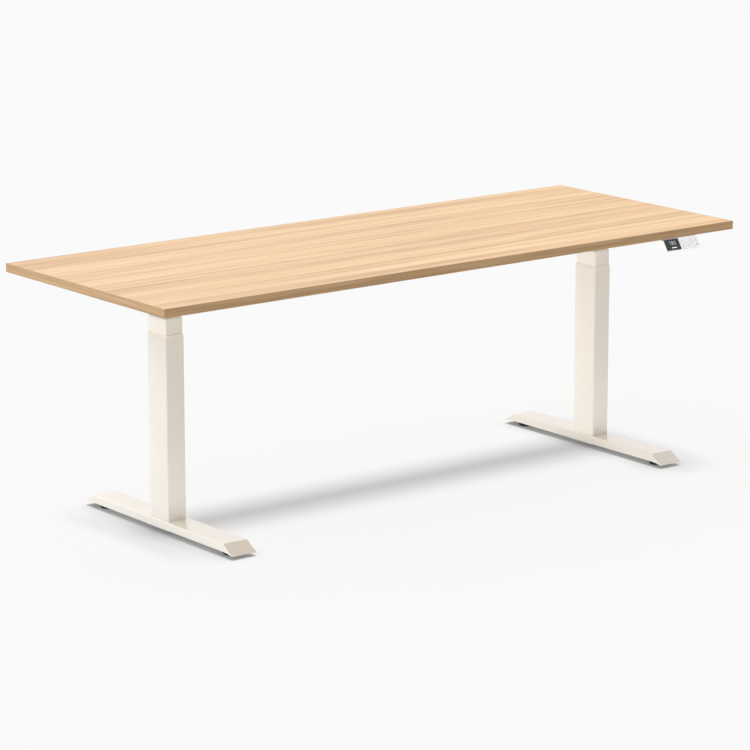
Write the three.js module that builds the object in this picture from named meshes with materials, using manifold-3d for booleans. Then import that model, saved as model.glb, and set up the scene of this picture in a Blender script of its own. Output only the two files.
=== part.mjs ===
// Height adjustable standing desk with two three-stage lifting columns.
// Millimetres, +Z up, +X to the user's right, +Y away from the user.
// The origin is on the floor, under the middle of the whole desk seen from above.

import * as THREE from "three";
import { mergeVertices } from "three/addons/utils/BufferGeometryUtils.js";
import Module from "manifold-3d";

const wasm = await Module();
wasm.setup();

// ---------------------------------------------------------------- driving dimensions

const TOP_LENGTH = 2100;
const TOP_DEPTH = 800;
const TOP_THICKNESS = 25;
const TOP_HEIGHT = 735; // top surface above the floor, as the desk stands here
const EDGE_BAND = 2;

const HANDSET_REACH = 22; // how far the handset stands out in front of the desktop
const TOP_Y = HANDSET_REACH / 2; // middle of the desktop
const FRONT_Y = TOP_Y - TOP_DEPTH / 2;
const BACK_Y = TOP_Y + TOP_DEPTH / 2;
const UNDERSIDE = TOP_HEIGHT - TOP_THICKNESS;

const LEG_X = 802; // column centre lines, either side of the middle
const LEG_Y = TOP_Y - 39.5;

const FOOT_WIDTH = 82;
const FOOT_TOP = 38.5;
const FOOT_EDGE = 15.5; // lower edge of the foot's side walls
const FOOT_TIP = 10.5; // lowest point of the bent-down ends
const FOOT_FLAT = 324.5; // half length of the flat top
const FOOT_HALF = 368.5; // half length over the tips
const FOOT_OFFSET = -2; // middle of the foot from the column centre line
const FOOT_SHEET = 3;
const FOOT_FOLD_RADIUS = 4;
const FOOT_END_FILLET = 40; // length of the curve from the side edge down to the tip

const GLIDE_Y = 308; // levelling glides from the middle of the foot
const GLIDE_RADIUS = 24;
const STUD_RADIUS = 4;
const STUD_TOP = 32;
const PAD_TOP = 11;
const BOSS_RADIUS = 9;
const BOSS_BOTTOM = 17;
const BOSS_BORE_GAP = 0.2;
const STIFFENER = { halfX: 37.5, halfY: 55, bottom: 11.5, sheet: 3 };

const TUBE_WALL = 2;
const OUTER_TUBE = { x: 62, y: 93.5, r: 4 };
const STAGE_STEP = 6; // each stage is this much narrower than the one around it
const OUTER_TUBE_TOP = 572.5;
const MIDDLE_TUBE_BOTTOM = 91;
const MIDDLE_TUBE_TOP = 621;
const INNER_TUBE_BOTTOM = 140.5;
const HEAD_BOTTOM = 667;
const COLLAR_LIP = 2.5;
const COLLAR_SKIRT = 27;
const COLLAR_GAP = 0.3; // from a collar's bore to the tube that slides in it
const GUIDE_HEIGHT = 6;
const GUIDE_GAP = 0.2;

const CHANNEL_SIZE = 32;
const CHANNEL_WALL = 3;
const CHANNEL_TOP = 500;
const NUT_HEIGHT = 20;
const SLEEVE_RADIUS = 11;
const SLEEVE_BORE = 7.4;
const SLEEVE_BOTTOM = 82.5;
const SLEEVE_TOP = 605;
const SLEEVE_JOURNAL = 9;
const SLEEVE_FLANGE = 2.4;
const SLEEVE_FLOOR = 13;
const SCREW_RADIUS = 7;
const SCREW_BOTTOM = 145;
const SCREW_TOP = 695;
const RUNNING_GAP = 0.3;
const CARRIER_CORNER = 2;
const CARRIER_GAP = 1.3; // round the support channel
const OVERLAP = 0.5; // how far joined shapes run into each other

const HEAD_PLATE = 4;
const HEAD_HALF_X = 55;
const HEAD_HALF_Y = 90;
const RAIL_Y = 73.5; // rail centre lines from the column centre line
const RAIL_WIDTH = 25;
const RAIL_BOTTOM = 672;
const RAIL_WALL = 2;
const STUB_LENGTH = 440;
const STUB_GAP = 0.3;
const STUB_WALL = 2.5;
const END_WALL_DROP = 4; // from the underside to the top of the head's end walls
const HEAD_BORE = 12;
const RAIL_END_GAP = 0.5;
const BRACKET_WIDTH = 50;
const BRACKET_HALF_LENGTH = 290;
const BRACKET_HALF_FLAT = 95;
const BRACKET_END_HEIGHT = 12;
const BRACKET_SHEET = 2.5;

const GEARBOX = { x: 96, y: 92, r: 10, top: 708 };
const MOTOR_AXIS_Z = 684;
const MOTOR_START = 62;
const MOTOR_END = 158;
const MOTOR_RADIUS = 25;
const NECK_RADIUS = 12.5;

const BOX_X = [60, 330]; // control box
const BOX_HALF_Y = 48;
const BOX_BOTTOM = 668;
const BOX_SPLIT = 688;
const BOX_TOP = 708;
const BOX_WALL = 2.5;
const INLET = {
  y: 27.4,
  z: 14.4,
  depth: 18,
  flange: 1.5,
  lip: 1.2,
  gap: 0.2,
  cavityY: 23,
  cavityZ: 10,
  cavityDepth: 14,
};
const INLET_Z = 679.5;

const HANDSET_X = 827.5;
const HANDSET_WIDTH = 139;
const FACE_DROP = 33; // the face runs this far down while it reaches forward by HANDSET_REACH
const FACE_START = 0.2; // gap between the desktop's underside and the face
const FACE_THICKNESS = 3;
const FACE_CORNER = 5;
const FACE_GAP = 0.3;
const SHELL_DEPTH = 48;
const SHELL_WALL = 2;
const SHELL_BACK = 15; // height of the housing at its back
const SHELL_CHIN = 1.2; // how far the housing's front edge hangs below the face
const SHELL_CHAMFER = 3;
const DISPLAY = { x: -37, width: 58, height: 36.6, bottom: -2.7, top: -0.1 };
const KEY = {
  width: 15.5,
  height: 12.5,
  corner: 1.5,
  bottom: -4,
  proud: 0.8,
  pitchX: 18,
  pitchY: 15.4,
  firstX: 3.7,
};
const KEY_NAMES = [
  ["key_up", "key_memory_1", "key_memory_2", "key_set"],
  ["key_down", "key_memory_3", "key_memory_4", "key_lock"],
];

const LEAD_RADIUS = 3;
const LEAD_SIDES = 8;
const LEAD_GAP = 0.5;

const COLOURS = {
  oak: { color: 0xeccfa2, roughness: 0.5, metalness: 0 },
  oakEdge: { color: 0xc9a67a, roughness: 0.55, metalness: 0 },
  cream: { color: 0xefe6d8, roughness: 0.4, metalness: 0.1 },
  galvanised: { color: 0xc4c6c8, roughness: 0.45, metalness: 0.8 },
  steel: { color: 0xa9abad, roughness: 0.3, metalness: 1 },
  motorBlack: { color: 0x2a2b2d, roughness: 0.5, metalness: 0.6 },
  darkPlastic: { color: 0x1f2022, roughness: 0.6, metalness: 0 },
  glidePlastic: { color: 0x141414, roughness: 0.7, metalness: 0 },
  creamPlastic: { color: 0xf0e9dc, roughness: 0.5, metalness: 0 },
  guidePlastic: { color: 0xdedede, roughness: 0.55, metalness: 0 },
  handsetWhite: { color: 0xf2f2f0, roughness: 0.45, metalness: 0 },
  keyWhite: { color: 0xe9e9e8, roughness: 0.5, metalness: 0 },
  displayBlack: { color: 0x17181a, roughness: 0.12, metalness: 0 },
};

// ---------------------------------------------------------------- helpers

function toSolid(geometry) {
  const plain = geometry.clone();
  plain.deleteAttribute("normal");
  plain.deleteAttribute("uv");
  const merged = mergeVertices(plain, 1e-4);
  return new wasm.Manifold(
    new wasm.Mesh({
      numProp: 3,
      vertProperties: new Float32Array(merged.attributes.position.array),
      triVerts: new Uint32Array(merged.index.array),
    }),
  );
}

function toGeometry(solid) {
  const mesh = solid.getMesh();
  const geometry = new THREE.BufferGeometry();
  geometry.setAttribute("position", new THREE.BufferAttribute(mesh.vertProperties, 3));
  geometry.setIndex(new THREE.BufferAttribute(mesh.triVerts, 1));
  geometry.computeVertexNormals();
  return geometry;
}

const join = (...geometries) => toGeometry(geometries.map(toSolid).reduce((a, b) => a.add(b)));
const common = (a, b) => toGeometry(toSolid(a).intersect(toSolid(b)));

function cut(geometry, ...tools) {
  const left = tools.map(toSolid).reduce((solid, tool) => solid.subtract(tool), toSolid(geometry));
  return toGeometry(left);
}

// A box given by its low and high limits along X, Y and Z.
function block([x0, x1], [y0, y1], [z0, z1]) {
  const geometry = new THREE.BoxGeometry(Math.abs(x1 - x0), y1 - y0, z1 - z0);
  return geometry.translate((x0 + x1) / 2, (y0 + y1) / 2, (z0 + z1) / 2);
}

// A box whose X limits are mirrored for the left leg (side = -1).
const sideBlock = (side, [x0, x1], y, z) => block([side * x0, side * x1], y, z);

function roundedRectangle(width, height, radius, Outline = THREE.Shape) {
  const x = width / 2 - radius;
  const y = height / 2 - radius;
  const outline = new Outline();
  outline.absarc(x, y, radius, 0, Math.PI / 2);
  outline.absarc(-x, y, radius, Math.PI / 2, Math.PI);
  outline.absarc(-x, -y, radius, Math.PI, 1.5 * Math.PI);
  outline.absarc(x, -y, radius, 1.5 * Math.PI, 2 * Math.PI);
  outline.closePath();
  return outline;
}

function extrude(shape, depth, curveSegments = 2) {
  return new THREE.ExtrudeGeometry(shape, { depth, bevelEnabled: false, curveSegments });
}

function prismZ(shape, z0, z1) {
  return extrude(shape, z1 - z0).translate(0, 0, z0);
}

// Extrudes an outline drawn in (Y, Z) along X.
function prismX(shape, x0, x1) {
  const basis = new THREE.Matrix4().makeBasis(
    new THREE.Vector3(0, 1, 0),
    new THREE.Vector3(0, 0, 1),
    new THREE.Vector3(1, 0, 0),
  );
  return extrude(shape, x1 - x0).applyMatrix4(basis).translate(x0, 0, 0);
}

// Extrudes an outline drawn in (X, Z) along Y.
function prismY(shape, y0, y1) {
  return extrude(shape, y1 - y0).rotateX(Math.PI / 2).translate(0, y1, 0);
}

// Turns a profile of [radius, z] points round the Z axis.
function turned(profile, segments = 24) {
  const points = profile.map(([radius, z]) => new THREE.Vector2(radius, z));
  return new THREE.LatheGeometry(points, segments).rotateX(Math.PI / 2);
}

const cylinder = (radius, z0, z1, segments) =>
  turned([[0, z0], [radius, z0], [radius, z1], [0, z1]], segments);

// A closed ring between two rounded rectangles; each is { x, y, r }.
function ring(outer, inner, z0, z1) {
  const shape = roundedRectangle(outer.x, outer.y, outer.r);
  shape.holes.push(roundedRectangle(inner.x, inner.y, inner.r, THREE.Path));
  return prismZ(shape, z0, z1);
}

const grown = (size, by) => ({ x: size.x + by, y: size.y + by, r: Math.max(size.r + by / 2, 0.5) });

function polygon(points) {
  return new THREE.Shape(points.map(([a, b]) => new THREE.Vector2(a, b)));
}

function part(name, geometry, finish) {
  const mesh = new THREE.Mesh(geometry, new THREE.MeshStandardMaterial(COLOURS[finish]));
  mesh.name = name;
  return mesh;
}

// ---------------------------------------------------------------- desktop

function desktop() {
  const group = new THREE.Group();
  const z = [UNDERSIDE, TOP_HEIGHT];
  const endX = TOP_LENGTH / 2;
  const coreX = endX - EDGE_BAND;
  const coreY = [FRONT_Y + EDGE_BAND, BACK_Y - EDGE_BAND];
  group.add(
    part("desktop_panel", block([-coreX, coreX], coreY, z), "oak"),
    part("edge_band_front", block([-endX, endX], [FRONT_Y, coreY[0]], z), "oakEdge"),
    part("edge_band_back", block([-endX, endX], [coreY[1], BACK_Y], z), "oakEdge"),
    part("edge_band_left", block([-endX, -coreX], coreY, z), "oakEdge"),
    part("edge_band_right", block([coreX, endX], coreY, z), "oakEdge"),
  );
  return group;
}

// ---------------------------------------------------------------- feet and glides

// Side outline of the foot: flat top, ends bent down, lower edge curving into each tip.
function footOutline() {
  const outline = new THREE.Shape();
  const filletStart = FOOT_HALF - FOOT_END_FILLET - FOOT_SHEET;
  outline.moveTo(-FOOT_FLAT, FOOT_TOP);
  outline.lineTo(-FOOT_HALF, FOOT_TIP);
  outline.lineTo(-FOOT_HALF + FOOT_SHEET, FOOT_TIP);
  const filletMiddle = FOOT_HALF - FOOT_END_FILLET / 2;
  outline.quadraticCurveTo(-filletMiddle, FOOT_EDGE, -filletStart, FOOT_EDGE);
  outline.lineTo(filletStart, FOOT_EDGE);
  outline.quadraticCurveTo(filletMiddle, FOOT_EDGE, FOOT_HALF - FOOT_SHEET, FOOT_TIP);
  outline.lineTo(FOOT_HALF, FOOT_TIP);
  outline.lineTo(FOOT_FLAT, FOOT_TOP);
  outline.closePath();
  return outline;
}

// The space inside the channel, one sheet thickness inside the top and the ends.
function footHollow() {
  const run = FOOT_HALF - FOOT_FLAT;
  const drop = FOOT_TOP - FOOT_TIP;
  const slope = Math.hypot(run, drop);
  const innerAt = (z) => {
    const fallen = FOOT_TOP - (FOOT_SHEET * run) / slope - z;
    return FOOT_FLAT - (FOOT_SHEET * drop) / slope + (fallen * run) / drop;
  };
  const roof = FOOT_TOP - FOOT_SHEET;
  const floor = FOOT_TIP - 1;
  const outline = polygon([
    [-innerAt(floor), floor],
    [innerAt(floor), floor],
    [innerAt(roof), roof],
    [-innerAt(roof), roof],
  ]);
  return prismX(outline, FOOT_SHEET - FOOT_WIDTH / 2, FOOT_WIDTH / 2 - FOOT_SHEET);
}

// The channel's cross-section, with the two folds rounded.
function footSection() {
  const half = FOOT_WIDTH / 2;
  const r = FOOT_FOLD_RADIUS;
  const outline = new THREE.Shape();
  outline.moveTo(-half, 0);
  outline.lineTo(half, 0);
  outline.absarc(half - r, FOOT_TOP - r, r, 0, Math.PI / 2);
  outline.absarc(r - half, FOOT_TOP - r, r, Math.PI / 2, Math.PI);
  outline.closePath();
  return prismY(outline, -FOOT_HALF - 1, FOOT_HALF + 1);
}

function foot(name) {
  const outside = common(prismX(footOutline(), -FOOT_WIDTH / 2, FOOT_WIDTH / 2), footSection());
  const roof = FOOT_TOP - FOOT_SHEET;
  const boss = (y) => cylinder(BOSS_RADIUS, BOSS_BOTTOM, roof + OVERLAP, 16).translate(0, y, 0);
  const boreRadius = STUD_RADIUS + BOSS_BORE_GAP;
  const bore = (y) => cylinder(boreRadius, BOSS_BOTTOM - 1, roof - 1, 16).translate(0, y, 0);
  const channel = cut(outside, footHollow());
  const bossed = join(channel, boss(-GLIDE_Y), boss(GLIDE_Y));
  const mesh = part(name, cut(bossed, bore(-GLIDE_Y), bore(GLIDE_Y)), "cream");
  mesh.position.y = FOOT_OFFSET;
  return mesh;
}

// A bent plate inside the channel, under the column, that the column bolts pass through.
function footStiffener(name) {
  const { halfX, halfY: half, bottom, sheet } = STIFFENER;
  const roof = FOOT_TOP - FOOT_SHEET;
  const outline = polygon([
    [-half, bottom],
    [half, bottom],
    [half, roof],
    [half - sheet, roof],
    [half - sheet, bottom + sheet],
    [sheet - half, bottom + sheet],
    [sheet - half, roof],
    [-half, roof],
  ]);
  return part(name, prismX(outline, -halfX, halfX), "galvanised");
}

function glide(name, y) {
  const pad = [
    [0, 0],
    [GLIDE_RADIUS - 1.5, 0],
    [GLIDE_RADIUS, 1.5],
    [GLIDE_RADIUS, 5.5],
    [GLIDE_RADIUS - 3, 8],
    [BOSS_RADIUS, PAD_TOP],
    [STUD_RADIUS, PAD_TOP],
    [STUD_RADIUS, STUD_TOP],
    [0, STUD_TOP],
  ];
  const mesh = part(name, turned(pad), "glidePlastic");
  mesh.position.y = FOOT_OFFSET + y;
  return mesh;
}

// ---------------------------------------------------------------- columns

const MIDDLE_TUBE = grown(OUTER_TUBE, -STAGE_STEP);
const INNER_TUBE = grown(MIDDLE_TUBE, -STAGE_STEP);
const bore = (tube) => grown(tube, -2 * TUBE_WALL);

function tube(name, size, z0, z1) {
  return part(name, ring(size, bore(size), z0, z1), "cream");
}

// A collar caps a tube and guides the next stage, with a skirt in the gap between the two.
function collar(name, around, inside, top) {
  const opening = grown(inside, 2 * COLLAR_GAP);
  const skirt = grown(bore(around), -GUIDE_GAP);
  const lip = ring(around, opening, top, top + COLLAR_LIP);
  const sleeve = ring(skirt, opening, top - COLLAR_SKIRT, top + COLLAR_LIP / 2);
  return part(name, join(lip, sleeve), "creamPlastic");
}

// The middle tube's lower end piece. Its arm reaches through the support channel's open side
// and holds the screw sleeve's lower journal.
function middleCarrier(name) {
  const z0 = MIDDLE_TUBE_BOTTOM - GUIDE_HEIGHT + GUIDE_GAP;
  const z1 = MIDDLE_TUBE_BOTTOM;
  const opening = CHANNEL_SIZE / 2 + CARRIER_GAP;
  const ringRadius = CHANNEL_SIZE / 2 - CHANNEL_WALL - RUNNING_GAP;
  const outside = grown(bore(OUTER_TUBE), -2 * GUIDE_GAP);
  const plate = cut(
    prismZ(roundedRectangle(outside.x, outside.y, CARRIER_CORNER), z0, z1),
    block([-opening, opening], [-opening, opening], [z0 - 1, z1 + 1]),
  );
  const arm = block([-ringRadius, ringRadius], [0, opening + 1], [z0, z1]);
  const holder = cylinder(ringRadius, z0, z1, 32);
  const journal = cylinder(SLEEVE_JOURNAL + RUNNING_GAP, z0 - 1, z1 + 1, 32);
  return part(name, cut(join(plate, arm, holder), journal), "guidePlastic");
}

function innerGuide(name) {
  const outside = grown(bore(MIDDLE_TUBE), -2 * GUIDE_GAP);
  const z1 = INNER_TUBE_BOTTOM;
  return part(name, ring(outside, bore(INNER_TUBE), z1 - GUIDE_HEIGHT, z1), "guidePlastic");
}

// A C-shaped post standing on the foot, open towards +Y, with the fixed nut at its top.
function supportChannel(name) {
  const half = CHANNEL_SIZE / 2;
  const inside = half - CHANNEL_WALL;
  const post = cut(
    block([-half, half], [-half, half], [FOOT_TOP, CHANNEL_TOP + NUT_HEIGHT]),
    block([-inside, inside], [-inside, half + 1], [FOOT_TOP - 1, CHANNEL_TOP]),
    cylinder(SLEEVE_RADIUS + RUNNING_GAP, CHANNEL_TOP - 1, CHANNEL_TOP + NUT_HEIGHT + 1, 32),
  );
  return part(name, post, "galvanised");
}

function screwSleeve(name) {
  const journalTop = MIDDLE_TUBE_BOTTOM + RUNNING_GAP;
  const profile = [
    [0, SLEEVE_BOTTOM],
    [SLEEVE_RADIUS, SLEEVE_BOTTOM],
    [SLEEVE_RADIUS, SLEEVE_BOTTOM + SLEEVE_FLANGE],
    [SLEEVE_JOURNAL, SLEEVE_BOTTOM + SLEEVE_FLANGE],
    [SLEEVE_JOURNAL, journalTop],
    [SLEEVE_RADIUS, journalTop],
    [SLEEVE_RADIUS, SLEEVE_TOP],
    [SLEEVE_BORE, SLEEVE_TOP],
    [SLEEVE_BORE, SLEEVE_BOTTOM + SLEEVE_FLOOR],
    [0, SLEEVE_BOTTOM + SLEEVE_FLOOR],
  ];
  return part(name, turned(profile), "steel");
}

function driveScrew(name) {
  const shoulder = HEAD_BOTTOM - HEAD_PLATE;
  const profile = [
    [0, SCREW_BOTTOM],
    [SCREW_RADIUS - 1, SCREW_BOTTOM],
    [SCREW_RADIUS, SCREW_BOTTOM + 1],
    [SCREW_RADIUS, shoulder],
    [SCREW_RADIUS + 1, shoulder],
    [SCREW_RADIUS + 1, SCREW_TOP],
    [0, SCREW_TOP],
  ];
  return part(name, turned(profile), "steel");
}

// ---------------------------------------------------------------- head, gearbox, motor

const RAIL_INSIDE_Y = RAIL_WIDTH / 2 - RAIL_WALL;
const STUB_HALF_Y = RAIL_INSIDE_Y - STUB_GAP;
const STUB_Z = [RAIL_BOTTOM + RAIL_WALL + STUB_GAP, UNDERSIDE - RAIL_WALL - STUB_GAP];

// The bracket that joins a column to the rails: a plate on the inner tube, two end walls and,
// for each rail, a box with a longer stub that the rail slides over.
function legHead(name, side) {
  const plateTop = HEAD_BOTTOM + HEAD_PLATE;
  const headX = [-HEAD_HALF_X, HEAD_HALF_X];
  const pieces = [block(headX, [-HEAD_HALF_Y, HEAD_HALF_Y], [HEAD_BOTTOM, plateTop])];
  const hollows = [cylinder(HEAD_BORE, HEAD_BOTTOM - 1, plateTop + 1, 24)];
  for (const row of [-1, 1]) {
    const y = row * RAIL_Y;
    const wallY = [y + (row * RAIL_WIDTH) / 2 - row * OVERLAP, row * HEAD_HALF_Y];
    wallY.sort((a, b) => a - b);
    pieces.push(
      block(headX, [y - RAIL_WIDTH / 2, y + RAIL_WIDTH / 2], [plateTop - 1, UNDERSIDE]),
      block(headX, wallY, [plateTop - 1, UNDERSIDE - END_WALL_DROP]),
      sideBlock(
        side,
        [-HEAD_HALF_X - STUB_LENGTH, -HEAD_HALF_X + 1],
        [y - STUB_HALF_Y, y + STUB_HALF_Y],
        STUB_Z,
      ),
    );
    hollows.push(
      sideBlock(
        side,
        [-HEAD_HALF_X - STUB_LENGTH - 1, HEAD_HALF_X + 1],
        [y - STUB_HALF_Y + STUB_WALL, y + STUB_HALF_Y - STUB_WALL],
        [STUB_Z[0] + STUB_WALL, STUB_Z[1] - STUB_WALL],
      ),
    );
  }
  return part(name, cut(join(...pieces), ...hollows), "cream");
}

function gearbox(name, side) {
  const bottom = HEAD_BOTTOM + HEAD_PLATE;
  const housing = prismZ(roundedRectangle(GEARBOX.x, GEARBOX.y, GEARBOX.r), bottom, GEARBOX.top);
  const neck = cylinder(NECK_RADIUS, GEARBOX.x / 2 - 10, MOTOR_START, 24)
    .rotateY((-side * Math.PI) / 2)
    .translate(0, 0, MOTOR_AXIS_Z);
  const shaftBore = cylinder(SCREW_RADIUS + 1 + RUNNING_GAP, bottom - 1, SCREW_TOP + 1, 24);
  return part(name, cut(join(housing, neck), shaftBore), "motorBlack");
}

function motor(name, side) {
  const profile = [
    [0, MOTOR_START],
    [MOTOR_RADIUS - 3, MOTOR_START],
    [MOTOR_RADIUS, MOTOR_START + 3],
    [MOTOR_RADIUS, MOTOR_END - 14],
    [MOTOR_RADIUS - 2, MOTOR_END - 14],
    [MOTOR_RADIUS - 2, MOTOR_END - 3],
    [MOTOR_RADIUS - 5, MOTOR_END],
    [0, MOTOR_END],
  ];
  const can = turned(profile, 32).rotateY((-side * Math.PI) / 2).translate(0, 0, MOTOR_AXIS_Z);
  return part(name, can, "motorBlack");
}

// A folded bracket under the desktop beside each head, open below and tapered to its ends.
function sideBracket(name, side) {
  const x0 = HEAD_HALF_X;
  const x1 = HEAD_HALF_X + BRACKET_WIDTH;
  const outline = polygon([
    [-BRACKET_HALF_LENGTH, UNDERSIDE],
    [-BRACKET_HALF_LENGTH, UNDERSIDE - BRACKET_END_HEIGHT],
    [-BRACKET_HALF_FLAT, RAIL_BOTTOM],
    [BRACKET_HALF_FLAT, RAIL_BOTTOM],
    [BRACKET_HALF_LENGTH, UNDERSIDE - BRACKET_END_HEIGHT],
    [BRACKET_HALF_LENGTH, UNDERSIDE],
  ]);
  const outside = side > 0 ? prismX(outline, x0, x1) : prismX(outline, -x1, -x0);
  const inside = sideBlock(
    side,
    [x0 + BRACKET_SHEET, x1 - BRACKET_SHEET],
    [-BRACKET_HALF_LENGTH - 1, BRACKET_HALF_LENGTH + 1],
    [RAIL_BOTTOM - 1, UNDERSIDE - BRACKET_SHEET],
  );
  return part(name, cut(outside, inside), "cream");
}

function leg(sideName, side) {
  const group = new THREE.Group();
  group.position.set(side * LEG_X, LEG_Y, 0);
  group.add(
    foot(`foot_${sideName}`),
    footStiffener(`foot_stiffener_${sideName}`),
    glide(`glide_${sideName}_front`, -GLIDE_Y),
    glide(`glide_${sideName}_back`, GLIDE_Y),
    tube(`outer_column_${sideName}`, OUTER_TUBE, FOOT_TOP, OUTER_TUBE_TOP),
    collar(`outer_collar_${sideName}`, OUTER_TUBE, MIDDLE_TUBE, OUTER_TUBE_TOP),
    tube(`middle_column_${sideName}`, MIDDLE_TUBE, MIDDLE_TUBE_BOTTOM, MIDDLE_TUBE_TOP),
    collar(`middle_collar_${sideName}`, MIDDLE_TUBE, INNER_TUBE, MIDDLE_TUBE_TOP),
    middleCarrier(`middle_carrier_${sideName}`),
    tube(`inner_column_${sideName}`, INNER_TUBE, INNER_TUBE_BOTTOM, HEAD_BOTTOM),
    innerGuide(`inner_guide_${sideName}`),
    supportChannel(`nut_post_${sideName}`),
    screwSleeve(`screw_sleeve_${sideName}`),
    driveScrew(`drive_screw_${sideName}`),
    legHead(`leg_head_${sideName}`, side),
    gearbox(`gearbox_${sideName}`, side),
    motor(`motor_${sideName}`, side),
    sideBracket(`side_bracket_${sideName}`, side),
  );
  return group;
}

// ---------------------------------------------------------------- rails

function rail(name, row) {
  const endX = LEG_X - HEAD_HALF_X - RAIL_END_GAP;
  const y = LEG_Y + row * RAIL_Y;
  const across = [y - RAIL_WIDTH / 2, y + RAIL_WIDTH / 2];
  const outside = block([-endX, endX], across, [RAIL_BOTTOM, UNDERSIDE]);
  const inside = block(
    [-endX - 1, endX + 1],
    [y - RAIL_INSIDE_Y, y + RAIL_INSIDE_Y],
    [RAIL_BOTTOM + RAIL_WALL, UNDERSIDE - RAIL_WALL],
  );
  return part(name, cut(outside, inside), "cream");
}

// ---------------------------------------------------------------- control box

function boxShell(name, z0, z1, openAt, ...cutters) {
  const y = [LEG_Y - BOX_HALF_Y, LEG_Y + BOX_HALF_Y];
  const insideZ = openAt > z1 ? [z0 + BOX_WALL, z1 + 1] : [z0 - 1, z1 - BOX_WALL];
  const insideX = [BOX_X[0] + BOX_WALL, BOX_X[1] - BOX_WALL];
  const inside = block(insideX, [y[0] + BOX_WALL, y[1] - BOX_WALL], insideZ);
  return part(name, cut(block(BOX_X, y, [z0, z1]), inside, ...cutters), "darkPlastic");
}

function mainsInlet(name) {
  const centred = (size, middle) => [middle - size / 2, middle + size / 2];
  const x0 = BOX_X[0];
  const body = block([x0 - 1, x0 + INLET.depth], centred(INLET.y, LEG_Y), centred(INLET.z, INLET_Z));
  const rim = block(
    [x0 - INLET.flange - INLET.gap, x0 - INLET.gap],
    centred(INLET.y + 2 * INLET.flange, LEG_Y),
    centred(INLET.z + 2 * INLET.lip, INLET_Z),
  );
  const cavity = block(
    [x0 - INLET.flange - 1, x0 - INLET.flange + INLET.cavityDepth],
    centred(INLET.cavityY, LEG_Y),
    centred(INLET.cavityZ, INLET_Z),
  );
  return part(name, cut(join(body, rim), cavity), "glidePlastic");
}

function controlBox() {
  const group = new THREE.Group();
  const half = { y: INLET.y / 2 + RUNNING_GAP, z: INLET.z / 2 + RUNNING_GAP };
  const window = block(
    [BOX_X[0] - 1, BOX_X[0] + BOX_WALL + 1],
    [LEG_Y - half.y, LEG_Y + half.y],
    [INLET_Z - half.z, INLET_Z + half.z],
  );
  group.add(
    boxShell("control_box_base", BOX_BOTTOM, BOX_SPLIT, BOX_TOP, window),
    boxShell("control_box_cover", BOX_SPLIT, BOX_TOP, BOX_BOTTOM),
    mainsInlet("mains_inlet"),
  );
  return group;
}

// ---------------------------------------------------------------- handset

const FACE_HEIGHT = Math.hypot(HANDSET_REACH, FACE_DROP);
const FACE_TILT = Math.atan2(FACE_DROP, HANDSET_REACH);
const FACE_MIDDLE = { y: -HANDSET_REACH / 2, z: -FACE_START - FACE_DROP / 2 };

const keyPlace = (row, column) => [KEY.firstX + column * KEY.pitchX, (0.5 - row) * KEY.pitchY];

function handsetFace(name) {
  const plate = prismZ(roundedRectangle(HANDSET_WIDTH, FACE_HEIGHT, FACE_CORNER), -FACE_THICKNESS, 0);
  const through = [-FACE_THICKNESS - 1, 1];
  const opening = (x, y, width, height) =>
    block([x - width / 2, x + width / 2], [y - height / 2, y + height / 2], through);
  const window = opening(DISPLAY.x, 0, DISPLAY.width + 2 * FACE_GAP, DISPLAY.height + 2 * FACE_GAP);
  const holes = [];
  for (const row of [0, 1])
    for (const column of [0, 1, 2, 3]) {
      const [x, y] = keyPlace(row, column);
      holes.push(opening(x, y, KEY.width + 2 * FACE_GAP, KEY.height + 2 * FACE_GAP));
    }
  return part(name, cut(plate, window, ...holes), "handsetWhite");
}

function key(name, row, column) {
  const [x, y] = keyPlace(row, column);
  const cap = roundedRectangle(KEY.width, KEY.height, KEY.corner);
  const mesh = part(name, extrude(cap, KEY.proud - KEY.bottom), "keyWhite");
  mesh.position.set(x, y, KEY.bottom);
  return mesh;
}

// The housing behind the face, drawn in (Y, Z) from the desktop's lower front edge.
function handsetHousing(name) {
  const up = { y: Math.cos(FACE_TILT), z: Math.sin(FACE_TILT) };
  const start = FACE_THICKNESS + FACE_GAP;
  const behind = { y: FACE_MIDDLE.y + start * up.z, z: FACE_MIDDLE.z - start * up.y };
  const onFace = (z) => [behind.y + ((z - behind.z) * up.y) / up.z, z];
  const low = FACE_MIDDLE.z - FACE_DROP / 2 - SHELL_CHIN;
  const hollowLow = low + SHELL_WALL;
  const outline = polygon([
    onFace(0),
    onFace(low),
    [onFace(low)[0] + 2 * SHELL_CHIN, low - SHELL_CHIN],
    [SHELL_DEPTH - SHELL_CHAMFER, -SHELL_BACK],
    [SHELL_DEPTH, SHELL_CHAMFER - SHELL_BACK],
    [SHELL_DEPTH, 0],
  ]);
  const hollow = polygon([
    [onFace(-SHELL_WALL)[0] - 2 * SHELL_WALL, -SHELL_WALL],
    [onFace(hollowLow)[0] - 2 * SHELL_WALL, hollowLow],
    [onFace(low)[0] + 2 * SHELL_WALL, hollowLow - SHELL_CHIN / 2],
    [SHELL_DEPTH - SHELL_CHAMFER - 1, SHELL_WALL - SHELL_BACK],
    [SHELL_DEPTH - SHELL_WALL, SHELL_CHAMFER + 1 - SHELL_BACK],
    [SHELL_DEPTH - SHELL_WALL, -SHELL_WALL],
  ]);
  const half = HANDSET_WIDTH / 2;
  const outside = prismX(outline, -half, half);
  return part(name, cut(outside, prismX(hollow, SHELL_WALL - half, half - SHELL_WALL)), "handsetWhite");
}

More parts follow.
